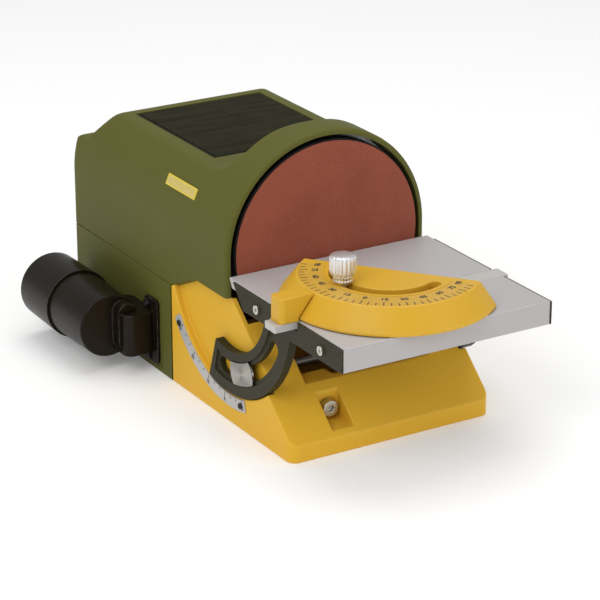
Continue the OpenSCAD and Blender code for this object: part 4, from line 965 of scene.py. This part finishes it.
def make_control_marks():
    """Plain marks on the switch and round the speed dial"""
    white = looks["white_print"]
    switch, dial = joint_at["power_rocker_tip"], joint_at["speed_dial_turn"]
    face = Matrix.Translation((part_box("power_rocker")[1].x, switch.y, switch.z)) @ RIGHT_SIDE
    halves = [band(ROCKER_RING_IN, ROCKER_RING_OUT, a, a + 180, 12) for a in (0, 180)]
    ring = [[(x, y + ROCKER_RING_Y) for x, y in half] for half in halves]
    flat_marks("rocker_marks", [rectangle(*ROCKER_BAR)] + ring, face, "power_switch", white)
    cap = Matrix.Translation((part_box("speed_dial")[1].x, dial.y, dial.z)) @ RIGHT_SIDE
    flat_marks("dial_pointer", [tick(POINTER_R, POINTER_L, POINTER_W, 90)], cap, "speed_control", white)
    wall = Matrix.Translation((HALF_W, dial.y, dial.z)) @ RIGHT_SIDE
    angles = [DIAL_FIRST_DEG - DIAL_SWEEP_DEG * k / (DIAL_STEPS - 1) for k in range(DIAL_STEPS)]
    flat_marks("dial_ticks", [tick(DIAL_TICK_R, DIAL_TICK_L, TICK_W, a) for a in angles], wall, "sander", white)
    labels = [label(k + 1, DIAL_NUMBER_R, a, 0) for k, a in enumerate(angles)]
    numerals("dial_numbers", labels, DIAL_NUMBER_SIZE, wall, "sander", white)


def make_port_frame():
    """Low raised frame on the housing's wall round the dust port's flange"""
    place = Matrix.Translation((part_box("lower_housing")[0].x, 0, 0)) @ LEFT_SIDE
    y0, z0, y1, z1 = PORT_FRAME
    w = PORT_FRAME_W
    bars = [rectangle(y0, z0, y1, z0 + w), rectangle(y0, z1 - w, y1, z1),
            rectangle(y0, z0 + w, y0 + w, z1 - w), rectangle(y1 - w, z0 + w, y1, z1 - w)]
    flat_marks("port_frame", bars, place, "sander", looks["green_shell"], PORT_FRAME_H)


def make_label_panel():
    """Bare pale panel inside the yellow plate on the hood's side"""
    low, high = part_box("label_plate")
    plate_r = HALF_W + PLATE_T * MM
    panel_r = plate_r * PANEL_RISE
    margin = PANEL_MARGIN * MM
    side = PANEL_SIDE * MM / plate_r
    angles = [math.atan2(low.z - AXIS_Z, low.x), math.atan2(high.z - AXIS_Z, high.x)]
    start, end = min(angles), max(angles)
    bm = bmesh.new()
    rings = []
    for k in range(PANEL_STEPS + 1):
        a = start + side + (end - start - 2 * side) * k / PANEL_STEPS
        rings.append([bm.verts.new((panel_r * math.cos(a), y, AXIS_Z + panel_r * math.sin(a)))
                      for y in (low.y + margin, high.y - margin)])
    for before, after in zip(rings, rings[1:]):
        bm.faces.new((before[0], before[1], after[1], after[0]))
    bmesh.ops.solidify(bm, geom=bm.faces[:], thickness=PANEL_T * MM)
    new_piece("label_panel", bm, "sander", looks["pale_print"])


# Edges and joints of the shells, in millimetres

HOUSING_FACE_Y = JOINT_Y + 0.3
HOUSING_DRAWN_BACK = 0.8
SEAM_LOW = PART_Z - 0.8
PORT_FRONT_Y = 104.0
NECK_LOW = 12.4
NECK_HIGH = 39.8
BASE_ROUND = 0.9
PORT_ROUND = 1.0
SOFT_EDGES = {"table_plate": 0.5, "left_bracket": 0.4, "right_bracket": 0.4, "protractor": 0.7,
              "pointer_block": 0.8, "guide_bar": 0.5, "dust_sleeve": 0.35,
              "clamp_blocks": 0.2, "tilt_clamp_knob": 0.8, "base_bolt": 0.4, "scale_strip": 0.15, "speed_dial": 0.4,
              "switch_body": 0.5, "power_rocker": 0.8, "cord_gland": 0.6, "bracket_screws": 0.2,
              "dust_port_screws": 0.2, "scale_screws": 0.12, "disc_plate": 0.5, "clamp_rod": 0.4}


def rear_edge(edge):
    """Upright edges of the housing's rear wall"""
    a, b = edge.verts
    upright = near(a.co.x - b.co.x, 0.0) and near(abs(a.co.x), ARCH_R)
    return upright and near(a.co.y, REAR_Y) and near(b.co.y, REAR_Y)


def base_edge(edge):
    """Edges of the base away from its joints with the housings"""
    on_hood = all(v.co.z > SEAM_LOW * MM for v in edge.verts)
    on_housing = all(near(v.co.y, JOINT_Y) for v in edge.verts)
    return not (on_hood or on_housing)


def port_edge(edge):
    """Rim of the dust port's front end and the long edges of its neck"""
    planes = ((1, PORT_FRONT_Y), (2, NECK_LOW), (2, NECK_HIGH))
    return any(all(near(v.co[axis], place) for v in edge.verts) for axis, place in planes)


def housing_joint(face):
    """Front of the housing, where it meets the base"""
    return face.normal.y < -0.9 and near(face.calc_center_median().y, HOUSING_FACE_Y + HOUSING_DRAWN_BACK)


def base_joint(face):
    """Top of the base, where it meets the hood"""
    return face.normal.z > 0.5 and all(v.co.z > SEAM_LOW * MM for v in face.verts)


# Assembly

make_camera()
looks = make_finishes()
make_studio()

for node, piece in frame["nodes"].items():
    piece.data.materials.clear()
    piece.data.materials.append(look_of(node))

for node, width in SOFT_EDGES.items():
    soften(node, width)
# the joint faces of the housing and of the base are darkened with painted shade
soften("lower_housing", 0.5, wide=(rear_edge, REAR_SIDE_ROUND), open_joint=(HOUSING_FACE_Y, HOUSING_DRAWN_BACK),
       shaded_faces=housing_joint)
soften("dust_elbow", 0.35, wide=(port_edge, PORT_ROUND))
soften("base_frame", 0.2, wide=(base_edge, BASE_ROUND), wide_rubbed=1.0, shaded_faces=base_joint)
make_hood()
make_mat()
make_gauge_knob()
make_gauge_scale()
make_tilt_scale()
make_control_marks()
make_port_frame()
make_label_panel()
